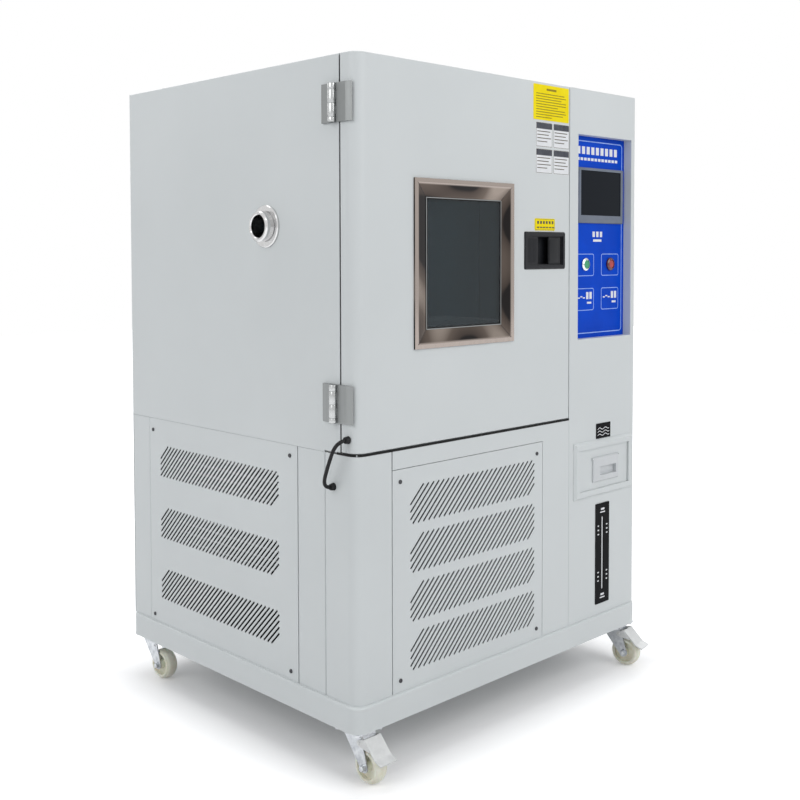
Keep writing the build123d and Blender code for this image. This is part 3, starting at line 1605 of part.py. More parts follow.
# Electrical plate on the column's partition, with its row of switchgear
mounting_sheet = 3.0
mounting_front = 180.0
mounting_back = 700.0
switchgear_pitch = 58.0
switchgear_size = (50.0, 88.0, 62.0)
switchgear_rows = (upper_bottom + 260.0, upper_bottom + 470.0)
switch_rail_width = 35.0
with BuildPart() as electrical_plate:
    with BuildSketch(side(column_left)):
        area(mounting_front, mounting_back, upper_bottom + 90, upper_bottom + 640)
    extrude(amount=mounting_sheet)
    with BuildSketch(side(column_left + mounting_sheet)):
        with Locations(*[((mounting_front + mounting_back) / 2, row) for row in switchgear_rows]):
            Rectangle(mounting_back - mounting_front - 40, switch_rail_width)
            with GridLocations(switchgear_pitch, 0, 8, 1):
                Rectangle(switchgear_size[0], switchgear_size[1])
    extrude(amount=switchgear_size[2])
electrical_plate.part.label = "electrical_plate"
export_step(electrical_plate.part, "parts/electrical_plate.step")

# Lead from the door's heater down to the machine room, with a moulded relief at each end
lead_radius = 4.0
relief_radius = 7.0
relief_length = 9.0
lead_start = (25.0, upper_bottom + 30.0)
lead_end = (71.0, upper_bottom - 73.0)
lead_bow = 33.0
lead_points = [
    (-relief_length, *lead_start),
    (-lead_bow, 26.0, upper_bottom + 28.0),
    (-lead_bow - 2, 48.0, upper_bottom - 20.0),
    (-lead_bow + 1, 70.0, upper_bottom - 71.0),
    (-relief_length, *lead_end),
]
lead_radii = [17.0, 60.0, 17.0]
with BuildPart() as door_lead:
    with BuildLine() as lead_path:
        FilletPolyline(*[at(*point) for point in lead_points], radius=lead_radii)
    with BuildSketch(Plane(origin=lead_path.line @ 0, z_dir=lead_path.line % 0)):
        Circle(lead_radius)
    sweep()
    for v, z in (lead_start, lead_end):
        with BuildSketch(Plane(origin=at(0, v, z), x_dir=(0, 1, 0), z_dir=(-1, 0, 0))):
            Circle(relief_radius)
        extrude(amount=relief_length, taper=12)
door_lead.part.label = "door_lead"
export_step(door_lead.part, "parts/door_lead.step")
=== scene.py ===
# %% [markdown]
# An environmental test chamber holds samples at a set temperature and humidity. It stands on
# casters: a plinth, a machine room with slotted panels, and an insulated cabinet with a windowed
# door and a control column. Its measured shape arrives as a fixed frame of CAD nodes. This
# notebook gives each node its finish, and adds the small pieces that make it look real.

# %% Load the fixed frame
import math

import bmesh
import bpy
from mathutils import Matrix, Vector


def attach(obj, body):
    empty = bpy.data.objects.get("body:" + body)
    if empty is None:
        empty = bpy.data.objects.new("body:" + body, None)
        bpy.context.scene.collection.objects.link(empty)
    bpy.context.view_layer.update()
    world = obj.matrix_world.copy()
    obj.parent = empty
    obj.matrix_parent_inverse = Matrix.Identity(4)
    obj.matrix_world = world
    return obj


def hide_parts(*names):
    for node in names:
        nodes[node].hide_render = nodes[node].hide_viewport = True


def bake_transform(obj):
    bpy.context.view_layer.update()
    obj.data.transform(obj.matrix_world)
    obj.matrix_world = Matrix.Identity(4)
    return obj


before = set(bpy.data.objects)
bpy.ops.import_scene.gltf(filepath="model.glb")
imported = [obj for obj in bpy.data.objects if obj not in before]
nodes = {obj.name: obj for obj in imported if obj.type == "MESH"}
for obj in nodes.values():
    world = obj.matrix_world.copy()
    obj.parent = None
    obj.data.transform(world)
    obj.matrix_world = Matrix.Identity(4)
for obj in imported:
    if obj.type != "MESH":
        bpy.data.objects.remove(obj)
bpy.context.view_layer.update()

# %% [markdown]
# Every measure on this object was taken from three planes: the body's left side, the face of its
# door, and the floor. One helper turns such a triple of millimetres into a point in metres, so
# the rest of the notebook can speak in millimetres.

# %% Places on the body
LEFT_SIDE = -0.4915
FRONT_FACE = -0.4185
BODY_WIDTH = 1000
BODY_DEPTH = 865
PLINTH_TOP = 165


def at(u, v, z):
    """u from the left side, v back from the front face, z above the floor, in millimetres."""
    return Vector((LEFT_SIDE + u / 1000, FRONT_FACE + v / 1000, z / 1000))


print("body corner", [round(x, 4) for x in at(0, 0, PLINTH_TOP)])

# %% [markdown]
# The photograph was taken from the left front, at about chest height, with a normal lens. The
# verticals stay upright because the picture was cropped, not tilted, so the camera looks nearly
# level and a small vertical shift puts the object where it was in the frame.

# %% Camera
YAW, PITCH, ROLL = math.radians(44.3), math.radians(-2.32), math.radians(-0.12)
EYE = (-1.9681, -2.0532, 1.0998)
SENSOR_WIDTH, FOCAL_LENGTH = 36, 49.05
SHIFT_RIGHT, SHIFT_UP = 0.0026, -0.128
bpy.ops.object.camera_add(location=EYE)
camera = bpy.context.object
camera.name = "viewpoint"
turn = (
    Matrix.Rotation(-YAW, 4, "Z")
    @ Matrix.Rotation(math.pi / 2 + PITCH, 4, "X")
    @ Matrix.Rotation(ROLL, 4, "Z")
)
camera.rotation_euler = turn.to_euler()
camera.data.sensor_width = SENSOR_WIDTH
camera.data.lens = FOCAL_LENGTH
camera.data.shift_x = SHIFT_RIGHT
camera.data.shift_y = SHIFT_UP
camera.data.clip_end = 50
bpy.context.scene.camera = camera
print("camera looks along", [round(x, 3) for x in turn @ Vector((0, 0, -1))])

# %% [markdown]
# Most steps act on one piece at a time. Blender's operators act on everything that is selected,
# so the first helper clears the selection and makes one piece active. The second works in edit
# mode: it selects faces or edges by a test on their place or direction, as a hand would pick them.
# The usual tests have names: every element, a top face, a bottom face, or both ends.

# %% Selection helpers
FACES, EDGES, POINTS = (False, False, True), (False, True, False), (True, False, False)


def only(piece):
    if bpy.context.object and bpy.context.object.mode != "OBJECT":
        bpy.ops.object.mode_set(mode="OBJECT")
    bpy.ops.object.select_all(action="DESELECT")
    piece.select_set(True)
    bpy.context.view_layer.objects.active = piece


def pick(kind, test):
    """In edit mode, selects each face, edge or point that passes the test, and returns how many."""
    bpy.context.tool_settings.mesh_select_mode = kind
    bpy.ops.mesh.select_all(action="DESELECT")
    mesh = bmesh.from_edit_mesh(bpy.context.object.data)
    found = {FACES: mesh.faces, EDGES: mesh.edges, POINTS: mesh.verts}[kind]
    count = 0
    for element in found:
        if test(element):
            element.select_set(True)
            count += 1
    mesh.select_flush_mode()
    bmesh.update_edit_mesh(bpy.context.object.data)
    return count


def edit(piece):
    only(piece)
    bpy.ops.object.mode_set(mode="EDIT")


def leave():
    bpy.ops.object.mode_set(mode="OBJECT")


def every(element):
    return True


def top(face):
    return face.normal.z > 0.9


def bottom(face):
    return face.normal.z < -0.9


def ends(face):
    return abs(face.normal.z) > 0.9


only(camera)
print("selection helpers ready,", len(bpy.context.selected_objects), "object selected")

# %% [markdown]
# A few edits come up again and again: to move, extrude, scale or inset what is selected, to
# bevel a rim, to turn every face outwards, and to join pieces. A solid starts as a primitive
# whose place, turn and scale go into its mesh, and a line starts as a curve through points.

# %% Edit helpers


def shift(x=0.0, y=0.0, z=0.0):
    bpy.ops.transform.translate(value=(x, y, z))


def pull(x=0.0, y=0.0, z=0.0):
    """Extrudes the selected faces along a vector."""
    bpy.ops.mesh.extrude_region_move(TRANSFORM_OT_translate={"value": (x, y, z)})


def grow(x, y, z=1.0):
    bpy.ops.transform.resize(value=(x, y, z))


def inset(thickness):
    bpy.ops.mesh.inset(thickness=thickness)


def round_off(test, offset, segments):
    """Bevels the rims of the faces that pass the test."""
    pick(FACES, test)
    bpy.ops.mesh.bevel(offset=offset, segments=segments)


def face_outwards():
    bpy.ops.mesh.select_all(action="SELECT")
    bpy.ops.mesh.normals_make_consistent(inside=False)


def join(pieces, name):
    """Joins the pieces into the first of them, and names it."""
    only(pieces[0])
    for extra in pieces[1:]:
        extra.select_set(True)
    bpy.ops.object.join()
    pieces[0].name = name
    return pieces[0]


def start(name, scale=(1, 1, 1)):
    """Takes the shape that was just added, with its place, turn and scale in its mesh, and
    leaves it open in edit mode."""
    piece = bpy.context.object
    piece.name = name
    piece.scale = scale
    bpy.ops.object.transform_apply()
    edit(piece)
    return piece


def cylinder(name, sides, radius, depth, place=(0, 0, 0), rotation=(0, 0, 0)):
    bpy.ops.mesh.primitive_cylinder_add(
        vertices=sides, radius=radius, depth=depth, location=place, rotation=rotation
    )
    return start(name)


def drawn_line(name, kind, points, dimensions="3D"):
    """A curve with one spline of a kind, through the points."""
    bpy.ops.curve.primitive_nurbs_path_add()
    line = bpy.context.object
    line.name = name
    line.data.dimensions = dimensions
    line.data.splines.clear()
    spline = line.data.splines.new(kind)
    spline.points.add(len(points) - 1)
    for point, place in zip(spline.points, points):
        point.co = (*place, 1)
    return line


print("edit helpers ready")

# %% [markdown]
# A short lead for the door's frost heater leaves the hinge side of the door, hangs in a bow and
# enters the machine room below. It is a thin rubber cable, so its line is one smooth curve
# along the same points as its CAD solid. The tube is swept along that curve, and a tapered
# relief goes round each end.

# %% Door lead
LEAD_RADIUS = 0.004
lead_points = [
    at(-9, 25, 718), at(-33, 26, 716), at(-35, 48, 668), at(-32, 70, 617), at(-9, 71, 615),
]
lead_line = drawn_line("lead_line", "NURBS", lead_points)
spline = lead_line.data.splines[0]
spline.order_u = 3
spline.use_endpoint_u = True
spline.resolution_u = 12
bpy.context.view_layer.update()
sampled = bpy.data.meshes.new_from_object(lead_line)
lead_line.data.bevel_depth = LEAD_RADIUS
lead_line.data.bevel_resolution = 4
lead_line.data.use_fill_caps = True
only(lead_line)
bpy.ops.object.convert(target="MESH")
door_lead = bpy.context.object
door_lead.name = "heater_lead"

# %% Strain reliefs on the lead
RELIEF_RADIUS, RELIEF_LENGTH = 0.0068, 0.009
INTO_BODY = Vector((RELIEF_LENGTH / 2, 0, 0))
reliefs = []
for name, place in (("upper_relief", lead_points[0]), ("lower_relief", lead_points[-1])):
    sleeve = cylinder(
        name, 24, RELIEF_RADIUS, RELIEF_LENGTH, place + INTO_BODY, (0, math.pi / 2, 0)
    )
    pick(FACES, lambda face: face.normal.x < -0.9)
    inset(0.0012)
    shift(x=-0.0015)
    pick(FACES, lambda face: face.normal.x > 0.9)
    grow(1, 1.2, 1.2)
    leave()
    reliefs.append(sleeve)
print(len(reliefs), "strain reliefs")

# %% [markdown]
# A finish, the floor and the sky are all small graphs of shader nodes. One helper adds a node with
# its values, one adds a Math node, and one links pairs of sockets. The last tells whether a ray
# comes from the camera, from a mirror or through glass, or else only carries light.

# %% Node helpers


def node(tree, kind, settings=None, **sockets):
    """Adds a shader node, with its settings and the values of its named sockets."""
    added = tree.nodes.new(kind)
    for key, value in (settings or {}).items():
        setattr(added, key, value)
    for socket, value in sockets.items():
        added.inputs[socket.replace("_", " ")].default_value = value
    return added


def link(tree, *pairs):
    for output, socket in pairs:
        tree.links.new(output, socket)


def reckon(tree, operation, first, second):
    """The output of a Math node on two outputs."""
    added = node(tree, "ShaderNodeMath", {"operation": operation})
    link(tree, (first, added.inputs[0]), (second, added.inputs[1]))
    return added.outputs[0]


def seen(tree):
    rays = node(tree, "ShaderNodeLightPath").outputs
    direct = reckon(tree, "MAXIMUM", rays["Is Camera Ray"], rays["Is Glossy Ray"])
    return reckon(tree, "MAXIMUM", direct, rays["Is Transmission Ray"])


print("node helpers ready")

# %% [markdown]
# The studio is a pale floor and five soft area lamps, with a white world for the background.
# Where it is seen, the background stays white, while the object itself is lit by a calmer grey
# world. The floor is matt, and where it is seen it glows: faintly under and close to the body,
# which paints a soft shadow round the plinth, and more with each step away from it, so that
# the floor's far edge fades into the background.

# %% Floor
FLOOR_SIZE = 24
# The first step keeps the floor's glow low under the body and just round it, which paints a soft
# shadow there. The second fades the far floor into the white background.
PAINTED_SHADOW_AND_FADE_STEPS = ((-0.16, 0.26, 0.06, 0.62), (0.26, 3.5, 0.0, 0.40))
body_centre = at(BODY_WIDTH / 2, BODY_DEPTH / 2, 0)
half_body = (BODY_WIDTH / 2000, BODY_DEPTH / 2000, 0)
bpy.ops.mesh.primitive_plane_add(size=FLOOR_SIZE, location=(0, 0, 0))
floor = bpy.context.object
floor.name = "studio_floor"
floor_paint = bpy.data.materials.new("floor_white")
floor_paint.use_nodes = True
tree = floor_paint.node_tree
tree.nodes.clear()
place = node(tree, "ShaderNodeTexCoord")
centred = node(tree, "ShaderNodeMapping", Location=-body_centre)
magnitude = node(tree, "ShaderNodeVectorMath", {"operation": "ABSOLUTE"})
outside = node(tree, "ShaderNodeVectorMath", {"operation": "SUBTRACT"})
outside.inputs[1].default_value = half_body
sides = node(tree, "ShaderNodeSeparateXYZ")
link(
    tree,
    (place.outputs["Object"], centred.inputs["Vector"]),
    (centred.outputs["Vector"], magnitude.inputs[0]),
    (magnitude.outputs["Vector"], outside.inputs[0]),
    (outside.outputs["Vector"], sides.inputs[0]),
)
gap = reckon(tree, "MAXIMUM", sides.outputs["X"], sides.outputs["Y"])
glow = []
for near, far, low, high in PAINTED_SHADOW_AND_FADE_STEPS:
    ends_of_step = {"From_Min": near, "From_Max": far, "To_Min": low, "To_Max": high}
    rise = node(tree, "ShaderNodeMapRange", {"interpolation_type": "SMOOTHSTEP"}, **ends_of_step)
    link(tree, (gap, rise.inputs["Value"]))
    glow.append(rise.outputs["Result"])
strength = reckon(tree, "MULTIPLY", seen(tree), reckon(tree, "ADD", *glow))
matt = node(tree, "ShaderNodeBsdfDiffuse", Color=(0.80, 0.80, 0.80, 1))
lift = node(tree, "ShaderNodeEmission")
total = node(tree, "ShaderNodeAddShader")
surface = node(tree, "ShaderNodeOutputMaterial")
link(
    tree,
    (strength, lift.inputs["Strength"]),
    (matt.outputs[0], total.inputs[0]),
    (lift.outputs[0], total.inputs[1]),
    (total.outputs[0], surface.inputs["Surface"]),
)
floor.data.materials.append(floor_paint)
print("floor with", len(tree.nodes), "nodes in its finish")

# %% World and lamps
world = bpy.data.worlds.new("studio_world")
bpy.context.scene.world = world
world.use_nodes = True
tree = world.node_tree
tree.nodes.clear()
fill = node(tree, "ShaderNodeBackground", Color=(0.93, 0.95, 1.0, 1), Strength=0.42)
white = node(tree, "ShaderNodeBackground", Color=(1, 1, 1, 1), Strength=1.0)
sky = node(tree, "ShaderNodeMixShader")
sky_out = node(tree, "ShaderNodeOutputWorld")
link(
    tree,
    (seen(tree), sky.inputs[0]),
    (fill.outputs[0], sky.inputs[1]),
    (white.outputs[0], sky.inputs[2]),
    (sky.outputs[0], sky_out.inputs[0]),
)

LAMP_AIM = Vector((0, 0, 0.75))
# Each lamp's place, the side of its square in metres, and its power in watts.
LAMPS = {
    "front_softbox": ((0.6, -3.6, 2.8), 2.6, 62),
    "left_softbox": ((-3.8, -0.4, 2.6), 2.6, 44),
    "top_softbox": ((0.0, 0.6, 4.0), 3.0, 46),
    "right_softbox": ((3.4, 0.8, 2.4), 2.4, 26),
    "back_softbox": ((-0.6, 3.8, 2.6), 2.4, 30),
}
for name, (place, size, power) in LAMPS.items():
    bpy.ops.object.light_add(type="AREA", location=place)
    lamp = bpy.context.object
    lamp.name = name
    lamp.data.size = size
    lamp.data.energy = power
    lamp.rotation_euler = (LAMP_AIM - Vector(place)).to_track_quat("-Z", "Y").to_euler()
view = bpy.context.scene.view_settings
view.view_transform = "Standard"
print(len(LAMPS), "lamps, view transform", view.view_transform)

# %% [markdown]
# Each finish starts from a shader with plain values. It then takes what every real surface has: a
# slight drift of its tone or its gloss, and a fine relief that breaks up the highlights. Both are
# noises on Object coordinates, so they stay on the piece, and a grain stretches them.

# %% Finish helpers
finishes = {}


def noise_of(tree, scale, grain, detail):
    """A noise on Object coordinates, stretched along an axis where the surface has a grain."""
    coordinates = node(tree, "ShaderNodeTexCoord")
    mapping = node(tree, "ShaderNodeMapping", Scale=grain)
    noise = node(tree, "ShaderNodeTexNoise", Scale=scale, Detail=detail, Roughness=0.55)
    link(
        tree,
        (coordinates.outputs["Object"], mapping.inputs["Vector"]),
        (mapping.outputs["Vector"], noise.inputs["Vector"]),
    )
    return noise.outputs["Fac"]


def drift(tree, socket, low, high, scale, grain, detail):
    """Lets a colour or a roughness wander between two values over the surface."""
    ramp = node(tree, "ShaderNodeValToRGB")
    for stop, position, value in zip(ramp.color_ramp.elements, (0.32, 0.68), (low, high)):
        stop.position = position
        stop.color = (*value, 1) if isinstance(value, tuple) else (value, value, value, 1)
    link(
        tree,
        (noise_of(tree, scale, grain, detail), ramp.inputs["Fac"]),
        (ramp.outputs["Color"], tree.nodes["Principled BSDF"].inputs[socket]),
    )


def relief(tree, scale, strength, distance, grain):
    """Adds a fine bump, which the light picks out at a grazing angle."""
    bump = node(tree, "ShaderNodeBump", Strength=strength, Distance=distance)
    link(
        tree,
        (noise_of(tree, scale, grain, 3.0), bump.inputs["Height"]),
        (bump.outputs["Normal"], tree.nodes["Principled BSDF"].inputs["Normal"]),
    )


def finish(
    name, slot, color, roughness, specular=0.5,
    tone=None, gloss=None, bump=None, grain=(1, 1, 1), detail=4.0, **sockets
):
    """A Principled finish, kept under its name with the record's slot that it belongs to. Its tone
    and gloss are the low value, high value and scale of a drift, and its bump is the scale,
    strength and distance of a relief."""
    material = bpy.data.materials.new(name)
    material.use_nodes = True
    tree = material.node_tree
    inputs = tree.nodes["Principled BSDF"].inputs
    inputs["Base Color"].default_value = (*color, 1)
    inputs["Roughness"].default_value = roughness
    inputs["Specular IOR Level"].default_value = specular
    for socket, value in sockets.items():
        inputs[socket.replace("_", " ")].default_value = value
    for socket, wander in (("Base Color", tone), ("Roughness", gloss)):
        if wander:
            drift(tree, socket, *wander, grain, detail)
    if bump:
        relief(tree, *bump, grain)
    finishes[name] = (material, slot)
    return tree


def metal(name, slot, color, roughness, **settings):
    return finish(name, slot, color, roughness, Metallic=1.0, **settings)


print("finish helpers ready")

# %% [markdown]
# The sheet metal is powder coated in a cool light grey. Such a coat is never quite flat: it has
# an orange-peel relief about a millimetre across, and its tone drifts by a percent or two. The
# coat's own gloss is a uniform value, so it is set on the shader's socket.

# %% Painted finishes
finish(
    "powder_coat_grey", "powder_coat", (0.65, 0.68, 0.68), 0.42, specular=0.35,
    tone=((0.635, 0.665, 0.665), (0.665, 0.695, 0.695), 2.2), bump=(950, 0.10, 0.0004),
)
finish(
    "pedal_enamel", "pedal_steel", (0.72, 0.73, 0.72), 0.34,
    tone=((0.66, 0.67, 0.66), (0.76, 0.77, 0.76), 60), bump=(700, 0.12, 0.0003),
)
finish(
    "control_panel_blue", "control_blue", (0.0, 0.060, 0.55), 0.42, specular=0.08,
    tone=((0.0, 0.052, 0.50), (0.0, 0.066, 0.60), 9), bump=(1400, 0.06, 0.0002),
)
finish(
    "compressor_black", "compressor_paint", (0.012, 0.012, 0.014), 0.28, gloss=(0.22, 0.36, 30),
    bump=(500, 0.08, 0.0003), Coat_Weight=0.4,
)
finish(
    "motor_black", "motor_paint", (0.03, 0.032, 0.036), 0.5, gloss=(0.42, 0.58, 50),
    bump=(900, 0.15, 0.0003),
)
print(len(finishes), "painted finishes")

# %% [markdown]
# The metals differ mostly in their grain. Stainless sheet is brushed one way, so its noise is
# stretched along the brushing. Zinc plate is mottled in small clouds. The window's trim is
# polished almost to a mirror, and its colour carries painted reflections: dark and light
# bands, and a lighter lip. The turned port shows fine rings.

# %% Metal finishes
metal(
    "stainless_sheet", "stainless", (0.46, 0.47, 0.48), 0.36, gloss=(0.33, 0.41, 420),
    bump=(2400, 0.02, 0.0001), grain=(1, 1, 0.02),
)

TRIM_LIP = (FRONT_FACE - 0.0038, FRONT_FACE - 0.0030)
tree = metal(
    "window_trim_mirror", "window_steel", (0.16, 0.13, 0.11), 0.10,
    gloss=(0.06, 0.15, 90), grain=(1, 1, 0.05),
)
# The trim's colour is painted reflection. Noise bands of dark and light brown on the bevel, and a
# lighter bronze lip in front, stand in for the surroundings that the mirror would reflect.
painted_reflection_bands = node(tree, "ShaderNodeValToRGB")
stops = painted_reflection_bands.color_ramp.elements
stops[0].position, stops[0].color = 0.47, (0.022, 0.020, 0.020, 1)
stops[1].position, stops[1].color = 0.64, (0.26, 0.22, 0.19, 1)
for position, color in ((0.49, (0.060, 0.048, 0.042, 1)), (0.58, (0.115, 0.092, 0.078, 1))):
    stops.new(position).color = color
coordinates = node(tree, "ShaderNodeTexCoord")
axes = node(tree, "ShaderNodeSeparateXYZ")
slope = node(tree, "ShaderNodeMapRange", From_Min=TRIM_LIP[0], From_Max=TRIM_LIP[1])
tone = node(tree, "ShaderNodeMix", {"data_type": "RGBA"}, A=(0.36, 0.31, 0.28, 1))
link(
    tree,
    (noise_of(tree, 6.5, (1, 0, 1), 0.0), painted_reflection_bands.inputs["Fac"]),
    (coordinates.outputs["Object"], axes.inputs[0]),
    (axes.outputs["Y"], slope.inputs["Value"]),
    (slope.outputs["Result"], tone.inputs["Factor"]),
    (painted_reflection_bands.outputs["Color"], tone.inputs[7]),
    (tone.outputs[2], tree.nodes["Principled BSDF"].inputs["Base Color"]),
)

metal(
    "zinc_plate", "zinc", (0.56, 0.58, 0.60), 0.34,
    tone=((0.44, 0.46, 0.49), (0.66, 0.68, 0.70), 85), bump=(420, 0.12, 0.0003),
)
metal(
    "hinge_satin", "hinge_steel", (0.24, 0.25, 0.25), 0.42, gloss=(0.36, 0.50, 220),
    bump=(1100, 0.08, 0.0002), grain=(1, 1, 0.05),
)
metal("knuckle_steel", "hinge_steel", (0.44, 0.45, 0.45), 0.26, gloss=(0.20, 0.32, 180))
metal(
    "turned_steel", "port_steel", (0.60, 0.60, 0.60), 0.18, gloss=(0.12, 0.26, 260),
    grain=(1, 0.2, 0.2),
)
metal("bolt_zinc", "bolt_steel", (0.60, 0.60, 0.58), 0.26, gloss=(0.20, 0.34, 120))
metal(
    "galvanised_sheet", "galvanised", (0.50, 0.52, 0.53), 0.42,
    tone=((0.42, 0.44, 0.46), (0.58, 0.60, 0.61), 45), bump=(300, 0.08, 0.0003), detail=1.0,
)
metal("polished_wire", "shelf_wire", (0.68, 0.69, 0.70), 0.12, gloss=(0.08, 0.18, 70))
metal("collar_chrome", "collar_metal", (0.66, 0.67, 0.68), 0.10, gloss=(0.06, 0.16, 150))
metal(
    "pressed_aluminium", "fan_metal", (0.62, 0.63, 0.64), 0.36, gloss=(0.30, 0.44, 60),
    bump=(500, 0.08, 0.0002),
)
metal(
    "coil_fins", "coil_fins", (0.60, 0.60, 0.58), 0.40,
    tone=((0.42, 0.42, 0.40), (0.66, 0.66, 0.64), 600), grain=(1, 1, 0.02),
)
metal(
    "heater_sheath", "heater_steel", (0.26, 0.22, 0.19), 0.38,
    tone=((0.16, 0.14, 0.16), (0.36, 0.29, 0.22), 25),
)
print(len(finishes), "finishes with the metals")

# %% [markdown]
# The plastics and rubbers are quiet: moulded housings have a fine spark texture, caster treads
# pick up a little dust, and door seals are matt. The panes are a cool tinted glass. Black screen
# glass needs no transmission at all, only depth and a clean reflection.

# %% Plastic, rubber, glass and foam finishes
finish(
    "handle_black", "housing_plastic", (0.016, 0.017, 0.020), 0.42, specular=0.18,
    gloss=(0.36, 0.50, 120), bump=(1500, 0.18, 0.0002),
)
finish(
    "paddle_black", "paddle_plastic", (0.016, 0.017, 0.019), 0.38, specular=0.16,
    gloss=(0.28, 0.42, 120), bump=(1300, 0.14, 0.0002),
)
finish(
    "bezel_grey", "bezel_plastic", (0.17, 0.195, 0.24), 0.5, specular=0.2,
    tone=((0.155, 0.18, 0.225), (0.185, 0.21, 0.255), 30), bump=(1600, 0.15, 0.0002),
)
finish(
    "screen_black_glass", "screen_glass", (0.008, 0.011, 0.016), 0.06, specular=0.06,
    gloss=(0.04, 0.09, 14),
)
finish(
    "start_green", "start_plastic", (0.01, 0.34, 0.14), 0.28,
    tone=((0.01, 0.30, 0.12), (0.015, 0.38, 0.16), 90), Coat_Weight=0.3,
)
finish(
    "stop_red", "stop_plastic", (0.42, 0.012, 0.014), 0.28,
    tone=((0.36, 0.010, 0.012), (0.48, 0.016, 0.018), 90), Coat_Weight=0.3,
)
finish(
    "gauge_black", "gauge_plastic", (0.010, 0.010, 0.011), 0.5, specular=0.03,
    gloss=(0.44, 0.56, 60), bump=(1500, 0.10, 0.0002),
)
finish(
    "seal_rubber", "seal_rubber", (0.010, 0.010, 0.010), 0.66, specular=0.15,
    gloss=(0.55, 0.72, 80), bump=(900, 0.2, 0.0003),
)
finish(
    "lead_rubber", "cable_jacket", (0.010, 0.010, 0.011), 0.5, specular=0.2, gloss=(0.38, 0.54, 90),
    bump=(1200, 0.15, 0.0002),
)
finish(
    "wheel_nylon", "wheel_nylon", (0.80, 0.79, 0.66), 0.44,
    tone=((0.74, 0.72, 0.57), (0.86, 0.85, 0.74), 55), bump=(600, 0.12, 0.0003),
    Subsurface_Weight=0.08,
)
finish(
    "latch_grey", "latch_plastic", (0.60, 0.62, 0.63), 0.40,
    tone=((0.58, 0.60, 0.61), (0.62, 0.64, 0.65), 20), bump=(1300, 0.12, 0.0002),
)
finish(
    "rigid_foam", "foam", (0.74, 0.66, 0.42), 0.9,
    tone=((0.66, 0.58, 0.36), (0.78, 0.70, 0.46), 30), bump=(260, 0.5, 0.001),
)
# Near-black felt with no specular at all: it paints in the shade of the machine room behind the
# slots.
finish(
    "filter_felt_painted_shade", "gauge_plastic", (0.010, 0.011, 0.012), 0.95, specular=0.0,
    tone=((0.004, 0.004, 0.005), (0.018, 0.019, 0.021), 400), bump=(1500, 0.6, 0.0006),
)
finish(
    "label_yellow", "latch_plastic", (0.93, 0.76, 0.01), 0.5, specular=0.08,
    tone=((0.90, 0.72, 0.008), (0.95, 0.79, 0.015), 30), bump=(900, 0.06, 0.0002),
)
finish(
    "label_white", "latch_plastic", (0.80, 0.81, 0.82), 0.5,
    tone=((0.77, 0.78, 0.80), (0.82, 0.83, 0.84), 40),
)
finish(
    "label_slate", "gauge_plastic", (0.06, 0.065, 0.08), 0.5, specular=0.2,
    tone=((0.05, 0.055, 0.07), (0.08, 0.085, 0.10), 60),
)
# The panel screws' zinc is darkened almost to black, which paints in the shade of their cross
# recesses.
metal("screw_zinc_painted_dark", "zinc", (0.07, 0.07, 0.075), 0.34, gloss=(0.28, 0.42, 200))
finish(
    "label_ink", "gauge_plastic", (0.06, 0.05, 0.03), 0.6,
    tone=((0.05, 0.04, 0.02), (0.10, 0.09, 0.05), 300),
)
finish(
    "label_ochre", "latch_plastic", (0.30, 0.23, 0.02), 0.5, specular=0.1,
    tone=((0.24, 0.18, 0.015), (0.38, 0.29, 0.03), 300),
)
finish(
    "print_pale_blue", "latch_plastic", (0.30, 0.46, 0.88), 0.45,
    tone=((0.24, 0.40, 0.84), (0.36, 0.52, 0.92), 60),
)
finish(
    "stop_ring_red", "stop_plastic", (0.10, 0.010, 0.012), 0.22, gloss=(0.16, 0.30, 100),
    Coat_Weight=0.4,
)
finish(
    "tread_brown", "wheel_nylon", (0.20, 0.13, 0.07), 0.6,
    tone=((0.14, 0.09, 0.05), (0.28, 0.19, 0.11), 120),
)
metal("mitre_dark", "window_steel", (0.05, 0.045, 0.045), 0.35, gloss=(0.28, 0.42, 200))
finish(
    "window_pane", "window_glass", (0.33, 0.41, 0.45), 0.02, specular=0.14, gloss=(0.01, 0.035, 6),
    Transmission_Weight=0.96, IOR=1.25,
)
print(len(finishes), "finishes in all")

# %% [markdown]
# Each CAD node keeps its shape and takes the finish that the real piece has. One table says
# which. The node's own material slots are cleared, and the finish takes their place.

